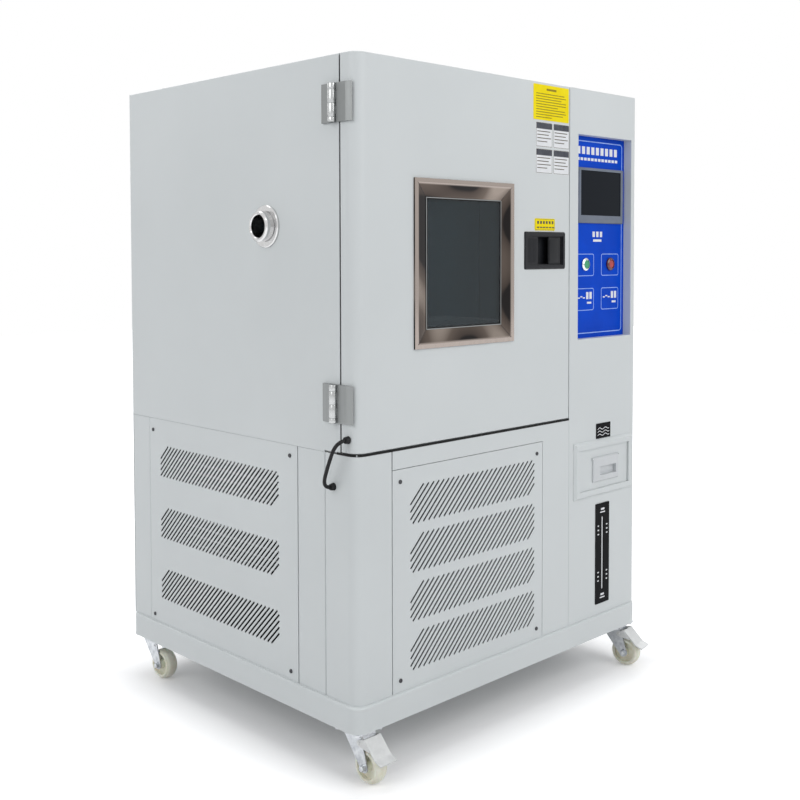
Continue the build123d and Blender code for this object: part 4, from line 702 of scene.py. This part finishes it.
# %% Dress the CAD nodes
CASTER_FORKS, CASTER_BRAKES, CASTER_WHEELS = [
    [name for name in nodes if name.startswith(kind)]
    for kind in ("caster_fork", "caster_brake", "caster_wheel")
]
DRESS = {
    "powder_coat_grey": (
        "base_frame lower_posts lower_front_frame front_grille_panel left_grille_panel "
        "right_grille_panel right_side_strip upper_wrap rear_panel door_shell column_front "
        "drawer_frame water_drawer"
    ).split(),
    "stainless_sheet": ["chamber_liner", "door_liner", "air_duct_panel", "shelf_rails"],
    "galvanised_sheet": (
        "machine_deck column_partition electrical_plate condenser_shroud"
    ).split(),
    "zinc_plate": ["caster_plates"] + CASTER_FORKS,
    "pedal_enamel": CASTER_BRAKES,
    "wheel_nylon": CASTER_WHEELS,
    "control_panel_blue": ["control_panel"],
    "bezel_grey": ["screen_bezel"],
    "screen_black_glass": ["screen_glass"],
    "collar_chrome": ["button_barrels"],
    "start_green": ["start_button"],
    "stop_red": ["stop_button"],
    "gauge_black": ["level_gauge"],
    "turned_steel": ["test_port"],
    "hinge_satin": ["hinge_door_leaves", "hinge_body_leaves"],
    "seal_rubber": ["door_seals"],
    "window_trim_mirror": ["window_frame"],
    "window_pane": ["window_panes"],
    "handle_black": ["handle_housing"],
    "paddle_black": ["handle_paddle"],
    "bolt_zinc": ["latch_bolt"],
    "latch_grey": ["drawer_latch"],
    "pressed_aluminium": ["circulation_fan", "condenser_fan"],
    "motor_black": ["circulation_motor"],
    "coil_fins": ["condenser_coil", "cooling_coil"],
    "heater_sheath": ["heater_coil"],
    "compressor_black": ["compressor"],
    "polished_wire": ["wire_shelves"],
    "rigid_foam": ["insulation_block", "door_insulation"],
    "lead_rubber": ["door_lead"],
}
for finish_name, names in DRESS.items():
    for name in names:
        materials = nodes[name].data.materials
        materials.clear()
        materials.append(finishes[finish_name][0])
undressed = sorted(set(nodes) - {name for names in DRESS.values() for name in names})
print("dressed", len(nodes) - len(undressed), "nodes; left over:", undressed)

# %% [markdown]
# A finished piece rides on the body it is fixed to, so it moves with it, and takes its finish.
# Its object goes back to the origin, with its place in its mesh, because the finishes read Object
# coordinates.

# %% Finish a piece


def complete(piece, body, finish_name, angle=30):
    only(piece)
    bpy.ops.object.transform_apply(location=True, rotation=True, scale=True)
    bpy.ops.object.shade_smooth_by_angle(angle=math.radians(angle))
    material, slot = finishes[finish_name]
    piece.data.materials.clear()
    piece.data.materials.append(material)
    if body:
        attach(piece, body)
    return piece


complete(door_lead, None, "lead_rubber", 35)
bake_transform(door_lead)
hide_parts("door_lead")
for piece, body in zip(reliefs, ("door", "cabinet")):
    complete(piece, body, "lead_rubber", 35)

# %% [markdown]
# The trim is made of a few repeating shapes, such as screws, plates and printed bars. A bevel
# modifier softens the edges of a finished form, and a shape that is drawn once, face up, is
# copied to each place and turned to face outwards there.

# %% Shaping helpers
FRONT, LEFT, RIGHT, BACK = (0, -1, 0), (-1, 0, 0), (1, 0, 0), (0, 1, 0)


def soften(piece, width, segments=2, angle=30):
    """Rounds every edge that is sharper than an angle."""
    only(piece)
    bevel = piece.modifiers.new("soft_edges", "BEVEL")
    bevel.width = width
    bevel.segments = segments
    bevel.limit_method = "ANGLE"
    bevel.angle_limit = math.radians(angle)
    bpy.ops.object.modifier_apply(modifier=bevel.name)


def facing(place, outward, spin=0.0, size=(1, 1, 1)):
    """Where a shape that is drawn face up goes, when its face looks outward."""
    turn = Vector(outward).to_track_quat("Z", "Y").to_matrix().to_4x4()
    spin_turn = Matrix.Rotation(spin, 4, "Z")
    return Matrix.Translation(place) @ turn @ spin_turn @ Matrix.Diagonal((*size, 1))


def spread(model, places, name):
    """Copies one shape to each place, and joins the copies into one piece."""
    copies = []
    for place in places:
        twin = model.copy()
        twin.data = model.data.copy()
        bpy.context.collection.objects.link(twin)
        twin.matrix_world = place
        copies.append(twin)
    piece = join(copies, name)
    bpy.ops.object.transform_apply()
    return piece


def card(name, low, high, radius, depth, thickness, line=0.0):
    """A thin plate on the front, with round corners, or only its outline if a line width is given.
    The corners are (u, z) pairs, and depth is how far back the plate's back lies."""
    middle = at((low[0] + high[0]) / 2, depth, (low[1] + high[1]) / 2)
    bpy.ops.mesh.primitive_plane_add(size=1, location=middle, rotation=(math.pi / 2, 0, 0))
    width, height = high[0] - low[0], high[1] - low[1]
    piece = start(name, (width / 1000, height / 1000, 1))
    pick(POINTS, every)
    bpy.ops.mesh.bevel(offset=radius / 1000, segments=5, affect="VERTICES")
    if line:
        pick(FACES, every)
        inset(line / 1000)
        bpy.ops.mesh.delete(type="FACE")
    pick(FACES, every)
    pull(y=-thickness / 1000)
    if not line:
        rim = min(thickness, 0.6) / 1000
        inset(rim)
        shift(y=-rim / 4)
    face_outwards()
    leave()
    return piece


def printed(name, spans, depth, thickness=0.12):
    """Printed bars on the front. Each span gives (u, z) of two corners."""
    bpy.ops.mesh.primitive_plane_add(size=1)
    bar = start("bar")
    pick(FACES, every)
    pull(z=1)
    face_outwards()
    leave()
    places = []
    for u0, z0, u1, z1 in spans:
        size = ((u1 - u0) / 1000, (z1 - z0) / 1000, thickness / 1000)
        places.append(facing(at((u0 + u1) / 2, depth, (z0 + z1) / 2), FRONT, 0, size))
    piece = spread(bar, places, name)
    bpy.data.objects.remove(bar)
    return piece


print("shaping helpers ready")

# %% [markdown]
# The panels are held by pan-head screws with a cross recess. A short cylinder is a fair start:
# its rim is bevelled to a dome, and a thin wedge is cut from it twice, a quarter turn apart. The
# hinges' leaves are plain, and bright sleeves cover their knuckles.

# %% Cross-recess screw
HEAD_RADIUS, HEAD_HEIGHT, HEAD_DOME = 0.0046, 0.0024, 0.0011
RECESS = (HEAD_RADIUS * 1.15, HEAD_RADIUS * 0.24, HEAD_HEIGHT * 0.9)
pan_head = cylinder("pan_head", 20, HEAD_RADIUS, HEAD_HEIGHT, (0, 0, HEAD_HEIGHT / 2))
round_off(top, HEAD_DOME, 3)
leave()
for quarter in (math.pi / 4, -math.pi / 4):
    bpy.ops.mesh.primitive_cube_add(size=1, location=(0, 0, HEAD_HEIGHT))
    wedge = bpy.context.object
    wedge.scale = RECESS
    wedge.rotation_euler.z = quarter
    edit(wedge)
    pick(FACES, bottom)
    grow(0.55, 0.55)
    leave()
    only(pan_head)
    cut = pan_head.modifiers.new("recess", "BOOLEAN")
    cut.operation = "DIFFERENCE"
    cut.object = wedge
    bpy.ops.object.modifier_apply(modifier=cut.name)
    bpy.data.objects.remove(wedge)
print("screw head with", len(pan_head.data.polygons), "faces")

# %% Screws on the machine-room panels and the rear panel
SIDE_SPOTS = ((216, 661), (216, 185), (768, 655), (768, 182))
REAR_SPOTS = [(u, z) for u in (14, 986) for z in (200, 420, 640, 860, 1080, 1300, 1490)]
REAR_SPOTS += [(u, z) for u in (260, 500, 740) for z in (182, 1494)]
PANEL_SCREWS = {
    "front_panel_screws": (FRONT, [at(u, 0, z) for u in (124, 585) for z in (190, 617)]),
    "left_panel_screws": (LEFT, [at(0, v, z) for v, z in SIDE_SPOTS]),
    "right_panel_screws": (RIGHT, [at(BODY_WIDTH, v, z) for v, z in SIDE_SPOTS]),
    "rear_panel_screws": (BACK, [at(u, BODY_DEPTH, z) for u, z in REAR_SPOTS]),
}
for name, (outward, spots) in PANEL_SCREWS.items():
    places = [facing(place, outward, 0.4 * index) for index, place in enumerate(spots)]
    # These screws are darkened to paint the shade in their cross recesses.
    complete(spread(pan_head, places, name), "cabinet", "screw_zinc_painted_dark")
print(sum(len(spots) for outward, spots in PANEL_SCREWS.values()), "panel screws")

# %% Hinge knuckle sleeves
HINGE_HEIGHTS = (750, 1368)
KNUCKLES = ((0.6, 10.2), (11.0, 38.2), (39.0, 66.0), (66.8, 79.4))
SLEEVE_RADIUS = 0.0087
sleeves = []
for base in HINGE_HEIGHTS:
    for low, high in KNUCKLES:
        middle = at(-9, 61.5, base + (low + high) / 2)
        sleeves.append(cylinder("sleeve", 28, SLEEVE_RADIUS, (high - low) / 1000, middle))
        round_off(ends, 0.0006, 2)
        leave()
complete(join(sleeves, "hinge_sleeves"), "cabinet", "knuckle_steel")
print(len(sleeves), "hinge sleeves")

# %% [markdown]
# Under the door runs a black strip on the deck's edge. It is painted shade: a dark piece that
# stands in for the shadow in the deep gap below the door, which in the photograph is the darkest
# line of the body. It follows the front and turns round the corner to the left side, so it is a
# flat curve, extruded upwards and given a thin rounded section.

# %% Painted shadow strip on the deck's edge
CORNER, CORNER_STEPS = 28, 16
STRIP_PROUD = 0.25
STRIP_END, STRIP_BACK, STRIP_HEIGHT = 712, 60, 0.6862
# A black piece in the gap under the door, painting the shade that falls there.
sweep = CORNER + STRIP_PROUD
shadow_strip_line = [at(STRIP_END, -STRIP_PROUD, 0)]
for step in range(CORNER_STEPS + 1):
    turn = math.radians(90 * step / CORNER_STEPS)
    shadow_strip_line.append(at(CORNER - sweep * math.sin(turn), CORNER - sweep * math.cos(turn), 0))
shadow_strip_line.append(at(-STRIP_PROUD, STRIP_BACK, 0))
shadow_strip = drawn_line("deck_edge_strip", "POLY", shadow_strip_line, "2D")
shadow_strip.location.z = STRIP_HEIGHT
shadow_strip.data.extrude = 0.0022
shadow_strip.data.bevel_depth = 0.0004
shadow_strip.data.bevel_resolution = 1
only(shadow_strip)
bpy.ops.object.convert(target="MESH")
shadow_strip = bpy.context.object
complete(shadow_strip, "cabinet", "seal_rubber", 40)
print("deck strip with", len(shadow_strip.data.polygons), "faces")

# %% [markdown]
# Behind the slots sits a pleated air filter, near black and without any gloss, which paints in
# the shade of the machine room so that the slots look black from outside. Pleats are easy to
# draw from a grid: every second row of points is pushed back, and Solidify gives the folded
# sheet its thickness. The left side also has bright guard wires in front of the condenser.

# %% Pleated filters
PLEAT_DEPTH = 0.0055


def pleated_filter(name, place, outward, width, height, pleats):
    bpy.ops.mesh.primitive_grid_add(x_subdivisions=2 * pleats, y_subdivisions=1, size=1)
    pad = start(name, (width, height, 1))
    step = width / (2 * pleats)
    pick(POINTS, lambda point: round((point.co.x + width / 2) / step) % 2 == 1)
    shift(z=-PLEAT_DEPTH)
    leave()
    thick = pad.modifiers.new("felt", "SOLIDIFY")
    thick.thickness = 0.0008
    bpy.ops.object.modifier_apply(modifier=thick.name)
    only(pad)
    pad.matrix_world = facing(place, outward)
    return complete(pad, "cabinet", "filter_felt_painted_shade", 20)


pleated_filter("front_filter", at(354.5, 12.5, 404), FRONT, 0.498, 0.470, 34)
for name, u, outward in (("left_filter", 13, LEFT), ("right_filter", 987, RIGHT)):
    pleated_filter(name, at(u, 487.5, 424.5), outward, 0.586, 0.512, 40)
print("3 pleated filters")

# %% Guard wires behind the left slots
wire = cylinder("wire", 10, 0.0016, 0.560)
round_off(ends, 0.0006, 2)
leave()
lying = Matrix.Rotation(math.pi / 2, 4, "X")
guard_places = [Matrix.Translation(at(8.2, 487, z)) @ lying for z in range(392, 660, 22)]
complete(spread(wire, guard_places, "condenser_guard"), "cabinet", "polished_wire", 40)
print(len(guard_places), "guard wires")

# %% [markdown]
# The door carries a yellow notice and four small cards, and a small plate lies above its handle.
# Each is a thin sheet with rounded corners, and plain ruled bars are printed a tenth of a
# millimetre proud of it.

# %% Notice and cards on the door
PAPER, CARD_PAPER = 0.5, 0.4
complete(card("door_notice", (568, 1418), (706, 1502), 3, 0, PAPER), "door", "label_yellow")
notice_bars = []
for row, length in enumerate((110, 116, 98, 116, 116, 84, 112, 116, 104, 60)):
    notice_bars.append((578, 1479.5 - 6.2 * row, 578 + length, 1481.5 - 6.2 * row))
notice_bars.append((618, 1489, 656, 1494))
complete(printed("notice_bars", notice_bars, -0.6), "door", "label_ochre")

CARD_WIDTH, CARD_HEIGHT, RIM = 63, 59, 0.8
cards, rims, heads, rules = [], [], [], []
for u, z in [(u, z) for u in (578, 645) for z in (1291, 1354)]:
    right, upper = u + CARD_WIDTH, z + CARD_HEIGHT
    cards.append(card("service_card", (u, z), (right, upper), 2, 0, CARD_PAPER))
    low, high = (u + RIM, z + RIM), (right - RIM, upper - RIM)
    rims.append(card("card_rim", low, high, 2, -CARD_PAPER, 0.12, line=1.0))
    heads.append((u + 2, z + 43, u + 61, z + 57))
    for row, width in enumerate((50, 44, 52, 38)):
        rules.append((u + 5, z + 36 - 8 * row, u + 5 + width, z + 38 - 8 * row))
complete(join(cards, "service_card"), "door", "label_white")
complete(join(rims, "card_rim"), "door", "label_ink")
complete(printed("card_heads", heads, -0.5), "door", "label_slate")
complete(printed("card_rules", rules, -0.5), "door", "label_ink")

complete(card("handle_plate", (574, 1154), (652, 1183), 3, 0, PAPER), "door", "label_yellow")
plate_rim = card("handle_plate_rim", (575.5, 1155.5), (650.5, 1181.5), 2.4, -PAPER, 0.15, line=0.8)
complete(plate_rim, "door", "label_ink")
plate_bars = [(583 + 11.2 * step, 1170, 590 + 11.2 * step, 1177) for step in range(6)]
plate_bars += [(582 + 11.6 * step, 1160, 591 + 11.6 * step, 1163) for step in range(6)]
complete(printed("handle_plate_bars", plate_bars, -0.65), "door", "label_ink")
print("notice,", len(cards), "cards and a handle plate")

# %% Wave plate above the drawer
WAVE_LENGTH, WAVE_WIDTH, WAVE_HEIGHT, WAVE_STEPS = 0.050, 0.0016, 0.0022, 24
complete(card("wave_plate", (827, 623), (890, 662), 1.5, 0, 0.8), "cabinet", "gauge_black")
bpy.ops.mesh.primitive_grid_add(x_subdivisions=WAVE_STEPS, y_subdivisions=1, size=1)
wave = start("wave", (WAVE_LENGTH, WAVE_WIDTH, 1))
for step in range(WAVE_STEPS + 1):
    pick(POINTS, lambda point: round((point.co.x / WAVE_LENGTH + 0.5) * WAVE_STEPS) == step)
    shift(y=WAVE_HEIGHT * math.sin(step / WAVE_STEPS * 4 * math.pi - 0.6))
pick(FACES, every)
pull(z=0.0002)
face_outwards()
leave()
wave_places = [facing(at(858.5, -0.85, z), FRONT) for z in (632, 640, 648)]
complete(spread(wave, wave_places, "wave_lines"), "cabinet", "label_white")
print("wave plate with", len(wave_places), "lines")

# %% [markdown]
# The control panel is silk-screened: one big outline with round corners, a square round each
# button, and two squares below them. All of these are thin raised frames, made from a plane whose
# corners are bevelled and whose middle is deleted after an inset.

# %% Outlines on the control panel
PANEL_DEPTH = 23
SQUARE_COLUMNS, SQUARE_ROWS = (769.6, 878.6), (953, 1041)
SQUARE_WIDTH, SQUARE_HEIGHT, PRINT = 77, 57, 0.15
outline = card("panel_outline", (756, 894), (970, 1385), 10, PANEL_DEPTH, PRINT, line=2.4)
complete(outline, "cabinet", "print_pale_blue")
squares = []
for u in SQUARE_COLUMNS:
    for z in SQUARE_ROWS:
        high = (u + SQUARE_WIDTH, z + SQUARE_HEIGHT)
        squares.append(card("button_square", (u, z), high, 6, PANEL_DEPTH, PRINT, line=1.8))
complete(join(squares, "button_squares"), "cabinet", "print_pale_blue")
marks = [(773 + 20 * step, 1351, 786 + 20 * step, 1370) for step in range(9)]
marks += [(772 + 15 * step, 1335, 783 + 15 * step, 1342) for step in range(12)]
marks += [(840 + 16 * step, 1141, 850 + 16 * step, 1155) for step in range(3)]
marks.append((843, 1129, 879, 1135))
for u in SQUARE_COLUMNS:
    marks += [(u + 44, 982, u + 54, 1000), (u + 58, 982, u + 68, 1000), (u + 48, 970, u + 66, 975)]
    for step in range(3):
        base = 984 + 3 * (step % 2)
        marks.append((u + 8 + 11 * step, base, u + 17 + 11 * step, base + 3))
complete(printed("panel_marks", marks, PANEL_DEPTH - 0.05), "cabinet", "label_white")
print("panel outlines and", len(marks), "bare marks")

# %% Rings of the push buttons
RING_RADIUS, RING_WIDTH, RING_DEPTH, RING_RISE = 0.0165, 0.0048, 0.004, 0.003
RING_HOLE = RING_RADIUS - RING_WIDTH
BUTTON_HEIGHT = 1071
for name, u, ring_finish in (("start", 808, "collar_chrome"), ("stop", 917, "stop_ring_red")):
    ring = cylinder(name + "_ring", 40, RING_RADIUS, RING_DEPTH, (0, 0, RING_DEPTH / 2))
    pick(FACES, top)
    inset(RING_WIDTH)
    shift(z=RING_RISE)
    bpy.ops.mesh.delete(type="FACE")
    pick(FACES, bottom)
    inset(RING_WIDTH)
    bpy.ops.mesh.delete(type="FACE")
    pick(EDGES, lambda edge: all(abs(p.co.xy.length - RING_HOLE) < 0.0002 for p in edge.verts))
    bpy.ops.mesh.bridge_edge_loops()
    face_outwards()
    leave()
    soften(ring, 0.0005, 2, 25)
    only(ring)
    ring.matrix_world = facing(at(u, PANEL_DEPTH - 0.2, BUTTON_HEIGHT), FRONT)
    complete(ring, "cabinet", ring_finish)
print("two button rings")

# %% [markdown]
# Inside the window's mirror trim, a bright bead holds the glass and a black gasket seals it. The
# trim is folded from one sheet and mitred at its corners, where a fine dark line is left. A rod
# between two points, with its ends bevelled round, serves for such lines.

# %% Window bead, gasket and mitres
GLASS_DEPTH = 3.0
bead = card("window_bead", (206, 935), (454, 1221), 1.5, GLASS_DEPTH, 1.4, line=1.8)
soften(bead, 0.0004)
complete(bead, "door", "hinge_satin")
gasket = card("window_gasket", (207.8, 936.8), (452.2, 1219.2), 1.5, GLASS_DEPTH, 0.7, 2.6)
complete(gasket, "door", "seal_rubber")


def rod(name, near, far, radius):
    """A thin rod between two points, with rounded ends."""
    piece = cylinder(name, 8, radius, (far - near).length)
    round_off(ends, radius * 0.4, 2)
    leave()
    only(piece)
    piece.matrix_world = facing((near + far) / 2, far - near)
    bpy.ops.object.transform_apply()
    return piece


mitres = []
for outer_u, inner_u in ((175, 206), (485, 454)):
    for outer_z, inner_z in ((904, 935), (1252, 1221)):
        near, far = at(outer_u, -4, outer_z), at(inner_u, GLASS_DEPTH, inner_z)
        mitres.append(rod("window_mitre", near, far, 0.0005))
complete(join(mitres, "window_mitres"), "door", "mitre_dark", 40)
print("bead, gasket and", len(mitres), "mitre lines")

# %% [markdown]
# Through the glass the photograph shows two bright points on the right wall, where the shelf rail
# is fixed with domed nuts. The same nut is used on the left wall. A domed nut is a six-sided
# cylinder with a rounded cap grown from its top face by insets.

# %% Domed nuts on the chamber walls
NUT_RADIUS, NUT_DEPTH = 0.0085, 0.006
DOME_STEPS = ((0.0016, 0.0), (0.0008, 0.003), (0.0016, 0.0022), (0.0022, 0.0012))
nut = cylinder("nut", 6, NUT_RADIUS, NUT_DEPTH, (0, 0, NUT_DEPTH / 2))
pick(FACES, top)
for shrink, rise in DOME_STEPS:
    inset(shrink)
    shift(z=rise)
leave()
soften(nut, 0.0004, 2, 25)
nut_spots = [(v, z) for v in (186, 425) for z in (1015, 1149)]
nut_places = [facing(at(606, v, z), LEFT) for v, z in nut_spots]
nut_places += [facing(at(106, v, z), RIGHT) for v, z in nut_spots]
complete(spread(nut, nut_places, "chamber_nuts"), "cabinet", "collar_chrome")
print(len(nut_places), "domed nuts")

# %% [markdown]
# Two thin probes measure the chamber's dry and wet temperature. They stand out of the sheet
# between the chamber and its air plenum. Each is a tube whose tip is rounded by bevels, with a
# collar at its root, and it is drawn once and copied.

# %% Temperature probes
PROBE_RADIUS, PROBE_LENGTH = 0.003, 0.120
probe = cylinder("probe", 20, PROBE_RADIUS, PROBE_LENGTH, (0, 0, PROBE_LENGTH / 2))
round_off(top, 0.0022, 4)
pick(FACES, bottom)
pull(z=-0.0004)
grow(2.6, 2.6)
pull(z=-0.0036)
leave()
soften(probe, 0.0004, 2, 40)
probe_places = [facing(at(u, 546, 1246), FRONT) for u in (486, 516)]
complete(spread(probe, probe_places, "temperature_probes"), "cabinet", "stainless_sheet", 35)
print(len(probe_places), "probes")

# %% [markdown]
# The sight gauge reads the level of the humidifier's water. It has three white marks beside each
# end of its slot, bare bars above and below it, and a white column of water that fills the slot.

# %% Level gauge marks and water column
WATER_RADIUS, WATER_HEIGHT = 0.0033, 0.187
ticks = []
for z in (253, 264, 275, 374, 385, 396):
    ticks += [(834, z - 1.6, 840, z + 1.6), (871, z - 1.6, 877, z + 1.6)]
ticks += [(848, 436, 863, 441), (845, 429, 866, 432), (848, 213, 863, 218), (845, 206, 866, 209)]
complete(printed("gauge_ticks", ticks, -2, 0.15), "cabinet", "label_white")
water = cylinder("water_column", 24, WATER_RADIUS, WATER_HEIGHT, at(855.5, 1.9, 323.5))
pick(FACES, ends)
inset(0.0008)
grow(1, 1, 1.004)
leave()
complete(water, "cabinet", "label_white", 40)
print(len(ticks), "ticks")

# %% [markdown]
# The fixed pad of the handle has fine upright ribs for the thumb, and the paddle has a shallow
# raised field. Both are black plastic like their CAD nodes, so only the light shows them.

# %% Handle ribs and paddle field
RIB_SIZE = (0.0016, 0.058, 0.0010)
bpy.ops.mesh.primitive_cube_add(size=1)
rib = start("rib", RIB_SIZE)
pick(FACES, top)
grow(0.45, 0.985)
leave()
soften(rib, 0.0002, 2, 25)
rib_places = [facing(at(u, -0.7, 1106), FRONT) for u in range(550, 581, 5)]
complete(spread(rib, rib_places, "handle_ribs"), "door", "handle_black")
field = card("paddle_field", (632, 1078), (666, 1134), 4, 0.1, 0.7)
complete(field, "handle_paddle", "paddle_black")
print(len(rib_places), "ribs and a field")

# %% [markdown]
# The door closes on two soft seals. The CAD node stands in for them as plain strips, so this
# piece replaces it: each seal is a frame with round corners whose middle stands up as a bulb,
# made by two insets of the frame's face, and its edges are softened by a bevel.

# %% Door seals
DOOR_BACK, SEAL_HEIGHT = 45.5, 4.0


def seal(name, low, high, radius, width):
    piece = card(name, low, high, radius, DOOR_BACK + SEAL_HEIGHT, SEAL_HEIGHT, line=width)
    edit(piece)
    pick(FACES, lambda face: face.normal.y > 0.9)
    inset(0.0015)
    shift(y=-0.0012)
    inset(0.0012)
    shift(y=0.0012)
    leave()
    soften(piece, 0.0004, 2, 25)
    return piece


inner_seal = seal("inner_seal", (78, 760), (634, 1416), 20, 14)
outer_seal = seal("outer_seal", (6, 695.5), (704.5, 1502), 14, 10)
seals = join([inner_seal, outer_seal], "door_seal_bulbs")
complete(seals, "door", "seal_rubber", 40)
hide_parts("door_seals")
print("two seals,", len(seals.data.polygons), "faces")

# %% Screws round the door's inner skin
liner_spots = [(u, z) for u in (40, 672) for z in (760, 940, 1106, 1270, 1450)]
liner_spots += [(u, z) for u in (190, 356, 522) for z in (728, 1478)]
liner_screws = [facing(at(u, DOOR_BACK, z), BACK, 0.01 * u) for u, z in liner_spots]
complete(spread(pan_head, liner_screws, "door_liner_screws"), "door", "zinc_plate")
print(len(liner_screws), "liner screws")

# %% [markdown]
# Each caster is bolted to the plinth by four hexagon bolts through its plate, and its axle has a
# nut on each side. The tread carries a narrow brown line, off centre, that the mould leaves. The
# bolts belong to the cabinet, the nuts to the fork and the line to the wheel.

# %% Caster bolts, axle nuts and tread lines
BOLT_RADIUS, BOLT_HEIGHT = 0.0065, 0.0045
BOLT_SPACING, BOLT_LEVEL = 31, 107
hex_head = cylinder("hex_head", 6, BOLT_RADIUS, BOLT_HEIGHT, (0, 0, BOLT_HEIGHT / 2))
pick(FACES, top)
inset(0.0012)
shift(z=0.0005)
leave()
soften(hex_head, 0.0003, 2, 25)

# Each caster's kingpin (u, v), and the heading of its wheel in degrees.
CASTERS = {
    "front_left": (37, 37, -90),
    "front_right": (963, 37, -80),
    "rear_left": (37, 828, -86),
    "rear_right": (963, 828, -90),
}
bolt_places = []
for u, v, heading in CASTERS.values():
    for du in (-BOLT_SPACING, BOLT_SPACING):
        for dv in (-BOLT_SPACING, BOLT_SPACING):
            bolt_places.append(facing(at(u + du, v + dv, BOLT_LEVEL), (0, 0, -1), 0.2 * du))
complete(spread(hex_head, bolt_places, "caster_bolts"), "cabinet", "zinc_plate")

WHEEL_RADIUS, TRAIL, AXLE_REACH = 0.0375, 0.038, 0.0252
LINE_RING, LINE_RADIUS = 0.03655, 0.0009
for name, (u, v, heading) in CASTERS.items():
    away = Matrix.Rotation(math.radians(heading), 4, "Z")
    hub = at(u, v, 0) + away @ Vector((TRAIL, 0, WHEEL_RADIUS))
    across = away @ Vector((0, 1, 0))
    nuts = [facing(hub + side * across * AXLE_REACH, side * across, 0.5) for side in (1, -1)]
    complete(spread(hex_head, nuts, f"axle_nuts_{name}"), f"fork_{name}", "zinc_plate")
    bpy.ops.mesh.primitive_torus_add(
        major_segments=64, minor_segments=8, major_radius=LINE_RING, minor_radius=LINE_RADIUS
    )
    line = start(f"tread_line_{name}", (1, 1, 2.0))
    pick(POINTS, lambda point: point.co.xy.length > 0.0368)
    grow(0.9975, 0.9975)
    leave()
    only(line)
    line.matrix_world = facing(hub + across * 0.001, across)
    complete(line, f"wheel_{name}", "tread_brown", 60)
print(len(bolt_places), "plate bolts, 8 axle nuts, 4 tread lines")

# %% [markdown]
# The rear has a clamping nut on the cable's gland and a barbed tail on each hose spigot. These
# are small, but a rear view would look bare without them.

# %% Gland nut and spigot barbs
gland = cylinder("gland_nut", 32, 0.0125, 0.010, (0, 0, -0.004))
pick(FACES, top)
for sink in (0.002, 0.006):
    inset(0.003)
    shift(z=-sink)
leave()
soften(gland, 0.0006, 2, 30)
only(gland)
gland.matrix_world = facing(at(910, 886, 255), BACK)
complete(gland, "cabinet", "gauge_black")

barb = cylinder("barb", 28, 0.0082, 0.003, (0, 0, 0.0015))
pick(FACES, top)
grow(0.86, 0.86)
for lift, swell in ((0.0006, 1.17), (0.003, 0.86), (0.0006, 1.17), (0.003, 0.86)):
    pull(z=lift)
    grow(swell, swell)
inset(0.0022)
shift(z=-0.008)
leave()
barb_places = [facing(at(u, 874, 225), BACK) for u in (90, 140)]
complete(spread(barb, barb_places, "spigot_barbs"), "cabinet", "bolt_zinc")
print("gland nut and", len(barb_places), "barbed tails")

# %% [markdown]
# Eight shapes were drawn only as patterns for copies. They go now, and only finished pieces are
# left.

# %% Clear the patterns
for pattern in (pan_head, wire, wave, nut, probe, rib, hex_head, barb):
    bpy.data.objects.remove(pattern)
meshes = [item for item in bpy.data.objects if item.type == "MESH"]
print("patterns removed,", len(meshes), "meshes in all")
